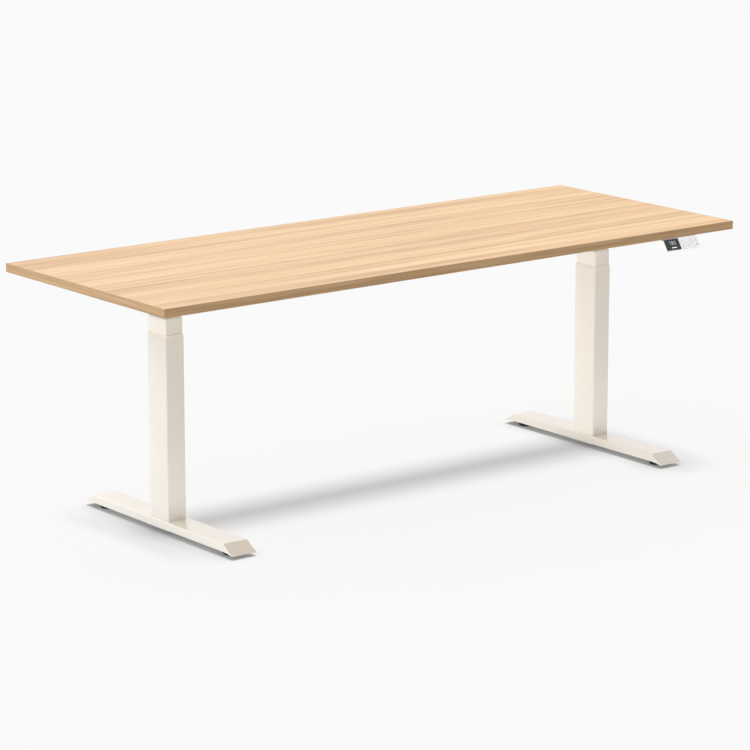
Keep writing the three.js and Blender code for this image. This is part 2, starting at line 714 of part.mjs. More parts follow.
function handset() {
  const group = new THREE.Group();
  group.position.set(HANDSET_X, FRONT_Y, UNDERSIDE);
  const face = new THREE.Group();
  face.position.set(0, FACE_MIDDLE.y, FACE_MIDDLE.z);
  face.rotation.x = FACE_TILT;
  const window = prismZ(roundedRectangle(DISPLAY.width, DISPLAY.height, 1), DISPLAY.bottom, DISPLAY.top);
  const display = part("handset_display", window, "displayBlack");
  display.position.x = DISPLAY.x;
  face.add(handsetFace("handset_face"), display);
  KEY_NAMES.forEach((names, row) => names.forEach((name, column) => face.add(key(name, row, column))));
  group.add(handsetHousing("handset_housing"), face);
  return group;
}

// ---------------------------------------------------------------- clipped leads

// Each route is a list of points chosen by hand, from the piece it leaves to the control box.
const BOX_FRONT_PORT = LEG_Y - 28;
const BOX_BACK_PORT = LEG_Y + 30;
const ALONG_RAIL = LEG_Y + 56;
const LEAD_Z = 704;
const PORT_Z = 678;

const LEFT_MOTOR_ROUTE = [
  [-LEG_X + MOTOR_END + LEAD_GAP, LEG_Y, MOTOR_AXIS_Z],
  [-LEG_X + MOTOR_END + 20, LEG_Y, MOTOR_AXIS_Z],
  [-590, LEG_Y + 22, 692],
  [-555, LEG_Y + 48, 702],
  [-510, ALONG_RAIL, LEAD_Z],
  [-300, ALONG_RAIL, LEAD_Z],
  [-100, ALONG_RAIL, LEAD_Z],
  [-30, LEG_Y + 54, 701],
  [8, LEG_Y + 38, 686],
  [35, BOX_BACK_PORT, PORT_Z],
  [BOX_X[0] - LEAD_GAP, BOX_BACK_PORT, PORT_Z],
];

const RIGHT_MOTOR_ROUTE = [
  [LEG_X - MOTOR_END - LEAD_GAP, LEG_Y, MOTOR_AXIS_Z],
  [LEG_X - MOTOR_END - 20, LEG_Y, MOTOR_AXIS_Z],
  [590, LEG_Y + 22, 692],
  [555, LEG_Y + 48, 702],
  [510, ALONG_RAIL, LEAD_Z],
  [430, LEG_Y + 54, 702],
  [380, LEG_Y + 38, 686],
  [354, BOX_BACK_PORT, PORT_Z],
  [BOX_X[1] + LEAD_GAP, BOX_BACK_PORT, PORT_Z],
];

const HANDSET_ROUTE = [
  [800, FRONT_Y + SHELL_DEPTH + LEAD_GAP, 703],
  [800, FRONT_Y + SHELL_DEPTH + 25, 704],
  [798, LEG_Y - 160, LEAD_Z],
  [790, LEG_Y - 122, LEAD_Z],
  [760, LEG_Y - 103, LEAD_Z],
  [720, LEG_Y - 98, LEAD_Z],
  [600, LEG_Y - 98, LEAD_Z],
  [480, LEG_Y - 98, 703],
  [438, LEG_Y - 98, 688],
  [412, LEG_Y - 93, 667],
  [385, LEG_Y - 72, 663],
  [368, LEG_Y - 44, 670],
  [348, BOX_FRONT_PORT, PORT_Z],
  [BOX_X[1] + LEAD_GAP, BOX_FRONT_PORT, PORT_Z],
];

function lead(name, route, steps) {
  const points = route.map(([x, y, z]) => new THREE.Vector3(x, y, z));
  const extrudePath = new THREE.CatmullRomCurve3(points);
  const section = new THREE.Shape();
  for (let i = 0; i < LEAD_SIDES; i++) {
    const angle = (2 * Math.PI * i) / LEAD_SIDES;
    const place = [LEAD_RADIUS * Math.cos(angle), LEAD_RADIUS * Math.sin(angle)];
    if (i === 0) section.moveTo(...place);
    else section.lineTo(...place);
  }
  section.closePath();
  const geometry = new THREE.ExtrudeGeometry(section, { extrudePath, steps, bevelEnabled: false });
  return part(name, geometry, "darkPlastic");
}

// ---------------------------------------------------------------- the desk

const desk = new THREE.Group();
desk.add(
  desktop(),
  leg("left", -1),
  leg("right", 1),
  rail("rail_front", -1),
  rail("rail_back", 1),
  controlBox(),
  handset(),
  lead("motor_lead_left", LEFT_MOTOR_ROUTE, 44),
  lead("motor_lead_right", RIGHT_MOTOR_ROUTE, 30),
  lead("handset_lead", HANDSET_ROUTE, 54),
);

export default desk;
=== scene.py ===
"""Looks, small hardware and studio for the height adjustable standing desk. Metres, +Z up."""

from functools import partial
import math

import bmesh
import bpy
from mathutils import Matrix, Vector


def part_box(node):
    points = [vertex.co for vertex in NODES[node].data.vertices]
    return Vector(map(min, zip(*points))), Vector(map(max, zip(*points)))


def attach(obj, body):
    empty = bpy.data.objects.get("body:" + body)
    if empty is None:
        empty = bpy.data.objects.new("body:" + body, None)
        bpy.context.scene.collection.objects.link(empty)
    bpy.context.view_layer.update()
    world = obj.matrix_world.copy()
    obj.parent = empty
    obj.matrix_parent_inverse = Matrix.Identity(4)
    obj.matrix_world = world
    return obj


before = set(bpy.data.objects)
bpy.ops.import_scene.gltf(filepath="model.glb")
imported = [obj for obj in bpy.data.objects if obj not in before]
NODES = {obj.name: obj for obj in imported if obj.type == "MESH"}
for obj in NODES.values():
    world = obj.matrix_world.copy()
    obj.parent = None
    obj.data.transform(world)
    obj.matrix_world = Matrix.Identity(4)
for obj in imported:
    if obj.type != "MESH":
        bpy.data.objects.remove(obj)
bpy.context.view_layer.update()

SIDES = {"left": -1, "right": 1}
SMOOTH_BELOW = 28  # degrees: edges flatter than this are shaded smooth and are not bevelled


# ---------------- places taken from the frame

def middle(node):
    low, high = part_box(node)
    return (low + high) / 2


TOP_LOW, TOP_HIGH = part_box("desktop_panel")
FRONT_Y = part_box("edge_band_front")[0].y
UNDERSIDE = TOP_LOW.z
LEG_X = middle("outer_column_right").x
LEG_Y = middle("outer_column_right").y
PLATE_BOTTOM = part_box("leg_head_right")[0].z
RAIL_LOW, RAIL_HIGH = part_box("rail_front")
RAIL_Z = (RAIL_LOW.z + RAIL_HIGH.z) / 2
BOX_LOW, BOX_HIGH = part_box("control_box_base")
BOX_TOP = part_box("control_box_cover")[1].z


# ---------------- mesh helpers

def corner_radius(shape, size, angle):
    """Distance from the axis at this angle to the edge of a round, hexagonal or cross outline."""
    if shape == "hex":
        return size * math.cos(math.pi / 6) / math.cos(angle % (math.pi / 3) - math.pi / 6)
    if shape == "cross":
        from_arm = (angle + math.pi / 4) % (math.pi / 2) - math.pi / 4
        return min(size, size * 0.3 / max(abs(math.sin(from_arm)), 1e-6))
    return size


def add_loop(bm, ring, segments):
    """Adds the points of a ring (size, z) or (size, z, shape) round the Z axis."""
    size, z, *shape = ring
    loop = []
    for i in range(segments):
        angle = 2 * math.pi * i / segments
        r = corner_radius(shape[0] if shape else "round", size, angle)
        loop.append(bm.verts.new((r * math.cos(angle), r * math.sin(angle), z)))
    return loop


def add_turned(bm, rings, segments=24):
    """Adds a closed body made of rings, from its bottom to its top."""
    loops = [add_loop(bm, ring, segments if ring[0] else 1) for ring in rings]
    for lower, upper in zip(loops, loops[1:]):
        for i in range(segments):
            j = (i + 1) % segments
            corners = [lower[i % len(lower)], lower[j % len(lower)]]
            corners += [upper[j % len(upper)], upper[i % len(upper)]]
            bm.faces.new(list(dict.fromkeys(corners)))
    for loop, turn in ((loops[0], -1), (loops[-1], 1)):
        if len(loop) > 1:
            bm.faces.new(loop[::turn])


def add_tube(bm, loops):
    """Joins loops of equally many points, each to the next and the last to the first."""
    count = len(loops[0])
    for first, second in zip(loops, loops[1:] + loops[:1]):
        for i in range(count):
            j = (i + 1) % count
            bm.faces.new((first[i], first[j], second[j], second[i]))


def add_ring_body(bm, rings, segments=24):
    """Adds a body with a hole: the rings run round its section and close on themselves."""
    add_tube(bm, [add_loop(bm, ring, segments) for ring in rings])


def add_prism(bm, outline, low, high, place=Matrix()):
    """Adds an outline of (x, y) points, drawn anticlockwise, extruded from z low to z high."""
    bottom = [bm.verts.new(place @ Vector((x, y, low))) for x, y in outline]
    top = [bm.verts.new(place @ Vector((x, y, high))) for x, y in outline]
    bm.faces.new(bottom[::-1])
    bm.faces.new(top)
    count = len(outline)
    for i in range(count):
        j = (i + 1) % count
        bm.faces.new((bottom[i], bottom[j], top[j], top[i]))


def rounded(width, depth, radius, steps=4, centre=(0, 0)):
    """The outline of a rectangle with rounded corners, anticlockwise."""
    points = []
    for quarter, (sx, sy) in enumerate(((1, 1), (-1, 1), (-1, -1), (1, -1))):
        for step in range(steps + 1):
            angle = (quarter + step / steps) * math.pi / 2
            x = sx * (width / 2 - radius) + radius * math.cos(angle)
            y = sy * (depth / 2 - radius) + radius * math.sin(angle)
            points.append((centre[0] + x, centre[1] + y))
    return points


def circle(radius, count, start=0.0):
    """Points round a circle, anticlockwise from the angle start."""
    angles = [start + 2 * math.pi * i / count for i in range(count)]
    return [(radius * math.cos(angle), radius * math.sin(angle)) for angle in angles]


def arc(radius, start, end, centre_y=0.0, steps=8):
    """Points of an arc about (0, centre_y), from one angle to the other."""
    angles = [start + (end - start) * step / steps for step in range(steps + 1)]
    return [(radius * math.cos(angle), centre_y + radius * math.sin(angle)) for angle in angles]


def corners_of(half_x, half_y):
    """The four corners of a rectangle about the origin."""
    return [(x, y) for x in (-half_x, half_x) for y in (-half_y, half_y)]


def add_plate_with_hole(bm, outline, hole, low, high):
    """Adds a plate with one hole; outline and hole have the same number of points."""
    rings = ((hole, low), (outline, low), (outline, high), (hole, high))
    add_tube(bm, [[bm.verts.new((x, y, z)) for x, y in points] for points, z in rings])


def add_closed_sweep(bm, points, radius, sides=8):
    """Adds a round section carried along a closed path that lies level."""
    up = Vector((0, 0, 1))
    loops = []
    for i, point in enumerate(points):
        along = points[(i + 1) % len(points)] - points[i - 1]
        sideways = along.normalized().cross(up)
        turns = circle(radius, sides)
        loops.append([bm.verts.new(point + u * sideways + v * up) for u, v in turns])
    add_tube(bm, loops)


def add_bevel(obj, width):
    """Rounds the edges of an object in two steps, leaving its mesh as it is."""
    bevel = obj.modifiers.new("soft_edges", "BEVEL")
    bevel.width = width
    bevel.segments = 2
    bevel.limit_method = "ANGLE"
    bevel.angle_limit = math.radians(SMOOTH_BELOW)
    bevel.use_clamp_overlap = False
    bevel.harden_normals = True


def mesh_of(name, build, smooth_degrees=35):
    """A mesh made by build(bm), smooth apart from its sharp edges."""
    bm = bmesh.new()
    build(bm)
    bmesh.ops.recalc_face_normals(bm, faces=bm.faces)
    for edge in bm.edges:
        edge.smooth = edge.calc_face_angle(math.pi) < math.radians(smooth_degrees)
    for face in bm.faces:
        face.smooth = True
    mesh = bpy.data.meshes.new(name)
    bm.to_mesh(mesh)
    bm.free()
    return mesh


def plate(name, outline, low, high):
    """A mesh made of one extruded outline."""
    return mesh_of(name, lambda bm: add_prism(bm, outline, low, high))


def ring_mesh(name, section, segments):
    """A mesh made of one section turned round the Z axis."""
    return mesh_of(name, lambda bm: add_ring_body(bm, section, segments))


# Finishes that are a variation on a slot of the record; every other finish is named as its slot.
VARIATIONS = {
    "oak_edge_long": "oak_edge",
    "oak_edge_short": "oak_edge",
    "zinc_plated_screw": "galvanised",
    "black_screw": "steel",
    "key_print": "key_white",
    "display_digits": "display_black",
    "display_bar": "display_black",
}


def slot_name(material):
    """The record's slot that a material belongs to."""
    name = material.name.split(".")[0]
    return VARIATIONS.get(name, name)


def piece(name, mesh, body, finish, place=Matrix(), bevel=0.0):
    """Puts a mesh in the scene as a piece of the desk that rides on a body."""
    if not mesh.materials:
        mesh.materials.append(finish)
    obj = bpy.data.objects.new(name, mesh)
    bpy.context.scene.collection.objects.link(obj)
    obj.matrix_world = place
    if bevel:
        add_bevel(obj, bevel)
    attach(obj, body)


def row_of(name, mesh, body, finish, places, bevel=0.0):
    """Puts the same mesh in several places, numbered from 1."""
    for number, place in enumerate(places, 1):
        piece(f"{name}_{number}", mesh, body, finish, place, bevel)


def at(x, y, z):
    return Matrix.Translation((x, y, z))


FACE_DOWN = Matrix.Rotation(math.pi, 4, "X")


def facing(axis):
    """The turn that brings +Z onto this direction."""
    return Vector((0, 0, 1)).rotation_difference(Vector(axis)).to_matrix().to_4x4()


# ---------------- material helpers

def feed(tree, value, socket):
    """Gives a socket a constant, or joins another node's output to it."""
    if isinstance(value, bpy.types.NodeSocket):
        tree.links.new(value, socket)
    else:
        socket.default_value = value


def add_node(tree, kind, inputs=None, **settings):
    """Adds a node; inputs gives what each socket gets, by its name or number."""
    made = tree.nodes.new(kind)
    for setting, value in settings.items():
        setattr(made, setting, value)
    for socket, value in (inputs or {}).items():
        feed(tree, value, made.inputs[socket])
    return made


def rgba(colour):
    """Adds the alpha that colour sockets need; another node's output stays as it is."""
    return (*colour, 1) if isinstance(colour, tuple) else colour


class Finish:
    """A Principled material and short ways to add nodes to it."""

    def __init__(self, name, **sockets):
        self.material = bpy.data.materials.new(name)
        self.material.use_nodes = True
        self.tree = self.material.node_tree
        self.shader = self.tree.nodes["Principled BSDF"]
        for socket, value in sockets.items():
            self.surface(socket.replace("_", " "), value)
        self.place = self.node("ShaderNodeTexCoord").outputs["Object"]

    def surface(self, socket, value):
        feed(self.tree, value, self.shader.inputs[socket])

    def node(self, kind, inputs=None, **settings):
        return add_node(self.tree, kind, inputs, **settings)

    def math(self, operation, first, second=0.0, clamp=False):
        inputs = {0: first, 1: second}
        return self.node("ShaderNodeMath", inputs, operation=operation, use_clamp=clamp).outputs[0]

    def vector(self, operation, first, second):
        inputs = {0: first, 1: second}
        return self.node("ShaderNodeVectorMath", inputs, operation=operation).outputs[0]

    def noise(self, stretch, detail=2.0, rough=0.5, shift=(0, 0, 0), distortion=0.0):
        """Noise whose cells are 1/stretch metres along each axis."""
        stretch = stretch if isinstance(stretch, tuple) else (stretch, stretch, stretch)
        moved = self.vector("ADD", self.place, shift)
        inputs = {
            "Vector": self.vector("MULTIPLY", moved, stretch),
            "Scale": 1.0,
            "Detail": detail,
            "Roughness": rough,
            "Distortion": distortion,
        }
        return self.node("ShaderNodeTexNoise", inputs).outputs["Fac"]

    def spread(self, value, low=0.3, high=0.7, to_low=0.0, to_high=1.0):
        """Stretches low..high to to_low..to_high and holds it there outside."""
        inputs = {"Value": value, "From Min": low, "From Max": high, "To Min": to_low, "To Max": to_high}
        return self.node("ShaderNodeMapRange", inputs).outputs["Result"]

    def ramp(self, value, stops):
        made = self.node("ShaderNodeValToRGB", {"Fac": value})
        elements = made.color_ramp.elements
        while len(elements) < len(stops):
            elements.new(0.5)
        for element, (position, colour) in zip(elements, stops):
            element.position = position
            element.color = rgba(colour)
        return made.outputs["Color"]

    def mix(self, factor, first, second, blend="MIX"):
        inputs = {"Factor": factor, 6: rgba(first), 7: rgba(second)}
        return self.node("ShaderNodeMix", inputs, data_type="RGBA", blend_type=blend).outputs[2]

    def colour(self, value):
        self.surface("Base Color", value)

    def roughness(self, value):
        self.surface("Roughness", value)

    def bump(self, height, distance, strength, under=None):
        """Raises the surface by height times distance; under is another bump below this one."""
        inputs = {"Strength": strength, "Distance": distance, "Height": height}
        if under is not None:
            inputs["Normal"] = under
        normal = self.node("ShaderNodeBump", inputs).outputs["Normal"]
        self.surface("Normal", normal)
        return normal


def shade(colour, factor):
    return tuple(channel * factor for channel in colour)


def grown(along, long, cross):
    """Noise stretch for grain that runs along X or Y."""
    return (long, cross, cross) if along == "X" else (cross, long, cross)


# ---------------- materials

OAK_LIGHT = (0.985, 0.700, 0.400)
OAK_MIDDLE = (0.845, 0.545, 0.290)
OAK_DARK = (0.655, 0.390, 0.185)
OAK_TONES = [(0.0, OAK_DARK), (0.4, OAK_MIDDLE), (1.0, OAK_LIGHT)]
EDGE_LIGHT = (0.63, 0.41, 0.215)
EDGE_DARK = (0.40, 0.235, 0.105)


def oak_board():
    """Oak decor on the desktop: long soft streaks, ring lines, fine grain and open pores, with a painted
    light tint that makes the top yellower towards its right end.
    """
    f = Finish("oak", Roughness=0.45, Specular_IOR_Level=0.4)
    broad = f.noise((0.55, 15, 15), detail=2.5, rough=0.55, distortion=0.25)
    narrow = f.noise((1.0, 44, 44), detail=4, rough=0.6, shift=(3, 1, 0))
    fine = f.noise((7, 420, 420), detail=3, rough=0.65, shift=(1, 5, 2))
    pores = f.noise((38, 1900, 1900), detail=1.5, shift=(2, 2, 7))
    bend = f.noise((0.8, 5, 5), shift=(9, 4, 1))
    across = f.node("ShaderNodeSeparateXYZ", {0: f.place})
    rings = f.math("ADD", f.math("MULTIPLY", across.outputs["Y"], 26), f.math("MULTIPLY", bend, 14))
    ring_line = f.math("POWER", f.math("FRACT", rings), 3)
    tone = f.spread(broad, 0.36, 0.64, -0.13, 0.33)
    tone = f.math("ADD", tone, f.spread(narrow, 0.36, 0.64, 0, 0.66))
    tone = f.math("ADD", tone, f.spread(fine, 0.3, 0.7, 0, 0.22))
    tone = f.math("SUBTRACT", tone, f.math("MULTIPLY", ring_line, 0.1), clamp=True)
    wood = f.ramp(tone, OAK_TONES)
    open_pores = f.spread(pores, 0.62, 0.72)
    wood = f.mix(f.math("MULTIPLY", open_pores, 0.3), wood, shade(OAK_DARK, 0.62))
    # Painted light: a tint ramp along X, yellower at the right end, stands in for how the light falls
    # across the top.
    painted_light_tint = f.spread(across.outputs["X"], TOP_LOW.x, TOP_HIGH.x)
    wood = f.mix(painted_light_tint, wood, (1.0, 0.985, 0.93), blend="MULTIPLY")
    f.colour(wood)
    f.roughness(f.spread(narrow, 0.3, 0.7, 0.4, 0.52))
    grain = f.bump(fine, 0.00006, 0.5)
    f.bump(f.math("SUBTRACT", 1.0, open_pores), 0.00008, 0.6, under=grain)
    return f.material


def oak_edging(name, along):
    """Edge band: the decor printed on a thin plastic strip, with grain along its length."""
    f = Finish(name, Roughness=0.48, Specular_IOR_Level=0.4)
    broad = f.noise(grown(along, 2.2, 110), shift=(4, 4, 4))
    narrow = f.noise(grown(along, 3, 210), detail=3, rough=0.6, shift=(1, 7, 3))
    fine = f.noise(grown(along, 45, 1900), detail=1.5, shift=(8, 2, 5))
    tone = f.math("MULTIPLY", f.spread(broad), 0.45)
    tone = f.math("ADD", tone, f.math("MULTIPLY", f.spread(narrow, 0.36, 0.64), 0.55))
    wood = f.ramp(tone, [(0.0, EDGE_DARK), (1.0, EDGE_LIGHT)])
    wood = f.mix(f.math("MULTIPLY", f.spread(fine, 0.6, 0.7), 0.25), wood, shade(EDGE_DARK, 0.7))
    f.colour(wood)
    f.bump(narrow, 0.00005, 0.5)
    return f.material


def powder_coat(name, colour, roughness, gloss=0.0):
    """Powder coat: fine orange peel and a little variation in shade and gloss."""
    f = Finish(name, Roughness=roughness)
    f.surface("Specular IOR Level", 0.5)
    f.surface("Coat Weight", gloss)
    f.surface("Coat Roughness", 0.06)
    cloud = f.noise(5, detail=3, rough=0.6)
    speck = f.noise(1500, detail=1)
    tone = f.mix(f.spread(cloud), shade(colour, 0.993), shade(colour, 1.007))
    f.colour(f.mix(f.math("MULTIPLY", f.spread(speck, 0.6, 0.75), 0.1), tone, shade(colour, 0.95)))
    f.roughness(f.spread(cloud, 0.3, 0.7, roughness - 0.03, roughness + 0.04))
    f.bump(f.noise(420), 0.00003, 0.2)
    return f.material


def moulded(name, colour, roughness):
    """Moulded plastic with a spark-eroded grain."""
    f = Finish(name, Roughness=roughness, Specular_IOR_Level=0.45)
    cloud = f.noise(18, detail=3)
    f.colour(f.mix(f.spread(cloud), shade(colour, 0.94), shade(colour, 1.05)))
    f.roughness(f.spread(cloud, 0.3, 0.7, roughness - 0.05, roughness + 0.05))
    f.bump(f.noise(1300, rough=0.6), 0.00005, 0.6)
    return f.material


def zinc(name):
    """Galvanised sheet: spangles of slightly different grey and gloss."""
    f = Finish(name, Roughness=0.42, Metallic=1.0)
    cells = f.node("ShaderNodeTexVoronoi", {"Vector": f.place, "Scale": 130})
    split = f.node("ShaderNodeSeparateColor", {0: cells.outputs["Color"]})
    f.colour(f.mix(split.outputs[0], (0.50, 0.52, 0.54), (0.68, 0.69, 0.70)))
    f.roughness(f.spread(split.outputs[1], 0, 1, 0.32, 0.55))
    f.bump(f.noise(600), 0.00003, 0.4)
    return f.material


def steel(name, colour, roughness, stretch=(60, 60, 2600)):
    """Machined or plated steel with fine tool marks."""
    f = Finish(name, Roughness=roughness, Metallic=1.0)
    marks = f.noise(stretch, detail=3, rough=0.6)
    f.colour(f.mix(f.spread(marks), shade(colour, 0.86), shade(colour, 1.08)))
    f.roughness(f.spread(marks, 0.3, 0.7, roughness - 0.08, roughness + 0.1))
    f.bump(marks, 0.00002, 0.4)
    return f.material


def threaded(name, x, pitch):
    """Steel screw with a helical thread about the column axis at x; the thread's roots are painted
    darker, as shade in its grooves.
    """
    f = Finish(name, Roughness=0.3, Metallic=1.0)
    centred = f.vector("SUBTRACT", f.place, (x, LEG_Y, 0))
    parts = f.node("ShaderNodeSeparateXYZ", {0: centred})
    turn = f.math("DIVIDE", f.math("ARCTAN2", parts.outputs["Y"], parts.outputs["X"]), 2 * math.pi)
    climb = f.math("FRACT", f.math("SUBTRACT", f.math("DIVIDE", parts.outputs["Z"], pitch), turn))
    ridge = f.math("ABSOLUTE", f.math("SUBTRACT", climb, 0.5))
    crest = f.spread(ridge, 0.14, 0.34)
    # Painted shade: the roots between the crests get a darker colour, standing in for the shade in the
    # grooves.
    f.colour(f.mix(crest, (0.30, 0.29, 0.27), (0.62, 0.62, 0.63)))
    f.roughness(f.spread(crest, 0, 1, 0.45, 0.24))
    f.bump(crest, 0.0008, 0.8)
    return f.material


def glass_black():
    """Display window: tinted glossy plastic with a faint haze."""
    f = Finish("display_black", Roughness=0.08, Specular_IOR_Level=0.5, Coat_Weight=0.3)
    haze = f.noise(60, detail=3)
    f.colour(f.mix(haze, (0.026, 0.027, 0.029), (0.033, 0.034, 0.036)))
    f.roughness(f.spread(haze, 0.3, 0.7, 0.07, 0.13))
    return f.material


def lit(name, colour, strength):
    """Lit display segment, slightly uneven in its glow."""
    f = Finish(name, Roughness=0.4)
    glow = f.noise(900, detail=1)
    tone = f.mix(glow, shade(colour, 0.92), colour)
    f.colour(tone)
    f.surface("Emission Color", tone)
    f.surface("Emission Strength", strength)
    return f.material


CREAM = (0.852, 0.814, 0.740)
OAK = oak_board()
EDGING_X = oak_edging("oak_edge_long", "X")
EDGING_Y = oak_edging("oak_edge_short", "Y")
COAT = powder_coat("cream_coat", CREAM, 0.12, gloss=0.9)
BLACK_PAINT = powder_coat("motor_black", (0.030, 0.031, 0.033), 0.38)
CREAM_PLASTIC = moulded("cream_plastic", shade(CREAM, 1.03), 0.42)
DARK_PLASTIC = moulded("dark_plastic", (0.022, 0.022, 0.024), 0.5)
GLIDE_PLASTIC = moulded("glide_plastic", (0.012, 0.012, 0.013), 0.58)
GUIDE_PLASTIC = moulded("guide_plastic", (0.68, 0.68, 0.66), 0.45)
WHITE_PLASTIC = moulded("handset_white", (0.93, 0.93, 0.93), 0.36)
KEY_PLASTIC = moulded("key_white", (0.91, 0.91, 0.915), 0.4)
PRINT = moulded("key_print", (0.20, 0.20, 0.21), 0.5)
ZINC = zinc("galvanised")
STEEL = steel("steel", (0.58, 0.58, 0.59), 0.3)
PLATED = steel("zinc_plated_screw", (0.66, 0.67, 0.69), 0.3, (900, 900, 900))
BLACK_SCREW = steel("black_screw", (0.055, 0.055, 0.06), 0.4, (900, 900, 900))
DISPLAY = glass_black()
DIGIT_LIGHT = lit("display_digits", (0.80, 0.86, 0.90), 0.6)
BAR_LIGHT = lit("display_bar", (0.90, 0.92, 0.95), 0.7)

CAD_FINISHES = (
    OAK, EDGING_X, COAT, ZINC, STEEL, BLACK_PAINT, DARK_PLASTIC, GLIDE_PLASTIC, CREAM_PLASTIC,
    GUIDE_PLASTIC, WHITE_PLASTIC, KEY_PLASTIC, DISPLAY,
)
FINISHES = {slot_name(finish): finish for finish in CAD_FINISHES}


# ---------------- carried-over CAD nodes

WELD_REACH = 0.00001


def weld_nodes():
    """Node group that joins the loose triangles of a CAD mesh and smooths its shallow edges."""
    group = bpy.data.node_groups.new("weld_and_smooth", "GeometryNodeTree")
    group.interface.new_socket("Geometry", in_out="INPUT", socket_type="NodeSocketGeometry")
    group.interface.new_socket("Geometry", in_out="OUTPUT", socket_type="NodeSocketGeometry")
    start = add_node(group, "NodeGroupInput")
    inputs = {"Geometry": start.outputs[0], "Name": "custom_normal"}
    forget = add_node(group, "GeometryNodeRemoveAttribute", inputs)
    inputs = {"Geometry": forget.outputs["Geometry"], "Distance": WELD_REACH}
    weld = add_node(group, "GeometryNodeMergeByDistance", inputs)
    inputs = {"Geometry": weld.outputs["Geometry"]}
    smooth = add_node(group, "GeometryNodeSetShadeSmooth", inputs, domain="FACE")
    angle = add_node(group, "GeometryNodeInputMeshEdgeAngle")
    inputs = {"A": angle.outputs["Unsigned Angle"], "B": math.radians(SMOOTH_BELOW)}
    shallow = add_node(group, "FunctionNodeCompare", inputs, data_type="FLOAT", operation="LESS_THAN")
    inputs = {"Geometry": smooth.outputs["Geometry"], "Shade Smooth": shallow.outputs["Result"]}
    sharp = add_node(group, "GeometryNodeSetShadeSmooth", inputs, domain="EDGE")
    add_node(group, "NodeGroupOutput", {0: sharp.outputs["Geometry"]})
    return group


EDGE_WIDTHS = {
    "desktop_panel": 0.0002,
    "edge_band": 0.0004,
    "foot_stiffener": 0.0006,
    "foot_": 0.0005,
    "glide_": 0.0005,
    "outer_collar": 0.0005,
    "middle_collar": 0.0004,
    "rail_": 0.0012,
    "side_bracket": 0.0008,
    "leg_head": 0.0006,
    "gearbox": 0.0015,
    "control_box": 0.0016,
    "mains_inlet": 0.0004,
    "handset_housing": 0.0012,
    "handset_face": 0.0004,
    "handset_display": 0.0003,
    "key_": 0.0004,
}
DRIVE_RIDGE_PITCH = 0.004
SLEEVE_RIDGE_PITCH = 0.006


def edge_width(node):
    for start, width in EDGE_WIDTHS.items():
        if node.startswith(start):
            return width
    return 0.0


def set_finish(node, finish):
    NODES[node].material_slots[0].material = finish


def finish_nodes():
    """Cleans the shading of every CAD node, rounds its edges and gives it its finish."""
    group = weld_nodes()
    for name, obj in NODES.items():
        weld = obj.modifiers.new("weld", "NODES")
        weld.node_group = group
        flat = obj.modifiers.new("join_flat_faces", "DECIMATE")
        flat.decimate_type = "DISSOLVE"
        flat.angle_limit = math.radians(0.5)
        if edge_width(name):
            add_bevel(obj, edge_width(name))
        set_finish(name, FINISHES[slot_name(obj.material_slots[0].material)])
    for side in SIDES:
        set_finish(f"edge_band_{side}", EDGING_Y)
        x = middle(f"drive_screw_{side}").x
        set_finish(f"drive_screw_{side}", threaded(f"drive_thread_{side}", x, DRIVE_RIDGE_PITCH))
        set_finish(f"screw_sleeve_{side}", threaded(f"sleeve_thread_{side}", x, SLEEVE_RIDGE_PITCH))


# ---------------- screws, nuts and beads

def socket_screw(name, radius, height):
    """Button head with a hexagon socket, standing on z 0."""
    hexagon = radius * 0.52
    rings = [
        (radius * 0.97, 0),
        (radius, height * 0.16),
        (radius * 0.93, height * 0.52),
        (radius * 0.76, height * 0.84),
        (radius * 0.62, height),
        (hexagon, height * 0.96, "hex"),
        (hexagon, height * 0.42, "hex"),
        (0, height * 0.34),
    ]
    return mesh_of(name, lambda bm: add_turned(bm, rings), 50)


def cross_screw(name, radius, height):
    """Pan head with a cross recess, standing on z 0."""
    rings = [
        (radius * 0.97, 0),
        (radius, height * 0.3),
        (radius * 0.92, height * 0.7),
        (radius * 0.72, height * 0.94),
        (radius * 0.62, height),
        (radius * 0.56, height * 0.98, "cross"),
        (radius * 0.40, height * 0.4, "cross"),
        (0, height * 0.3),
    ]
    return mesh_of(name, lambda bm: add_turned(bm, rings, segments=32), 50)


def hex_nut(name, bore, across, height):
    """Hexagon nut with chamfered corners, standing on z 0."""
    corner = across / 2 / math.cos(math.pi / 6)
    rings = [
        (bore, 0.08 * height),
        (bore * 1.1, 0),
        (across * 0.48, 0),
        (corner, 0.12 * height, "hex"),
        (corner, 0.88 * height, "hex"),
        (across * 0.48, height),
        (bore * 1.1, height),
        (bore, 0.92 * height),
    ]
    return ring_mesh(name, rings, 36)


def stud_thread(name, radius, ridge, pitch, length):
    """A helical ridge round a stud, from z 0 up, tapering away at both ends."""
    steps = 16
    count = int(length / pitch * steps)

    def build(bm):
        loops = []
        for i in range(count + 1):
            angle = 2 * math.pi * i / steps
            z = length * i / count
            height = ridge * min(1, i / steps, (count - i) / steps) + ridge * 0.02
            out = Vector((math.cos(angle), math.sin(angle), 0))
            root = out * (radius - ridge * 0.3)
            half = Vector((0, 0, pitch * 0.3))
            middle_z = Vector((0, 0, z))
            section = (root - half, out * (radius + height), root + half)
            loops.append([bm.verts.new(corner + middle_z) for corner in section])
        for first, second in zip(loops, loops[1:]):
            for k in range(3):
                m = (k + 1) % 3
                bm.faces.new((first[k], second[k], second[m], first[m]))
        bm.faces.new(loops[0])
        bm.faces.new(loops[-1][::-1])

    return mesh_of(name, build, 20)


FOOT_SCREW = socket_screw("foot_screw", 0.007, 0.0044)
FRAME_SCREW = socket_screw("frame_screw", 0.0053, 0.0032)
SMALL_SCREW = socket_screw("small_screw", 0.0033, 0.002)
WOOD_SCREW = cross_screw("wood_screw", 0.0045, 0.0026)
CASE_SCREW = cross_screw("case_screw", 0.003, 0.0016)


# ---------------- feet

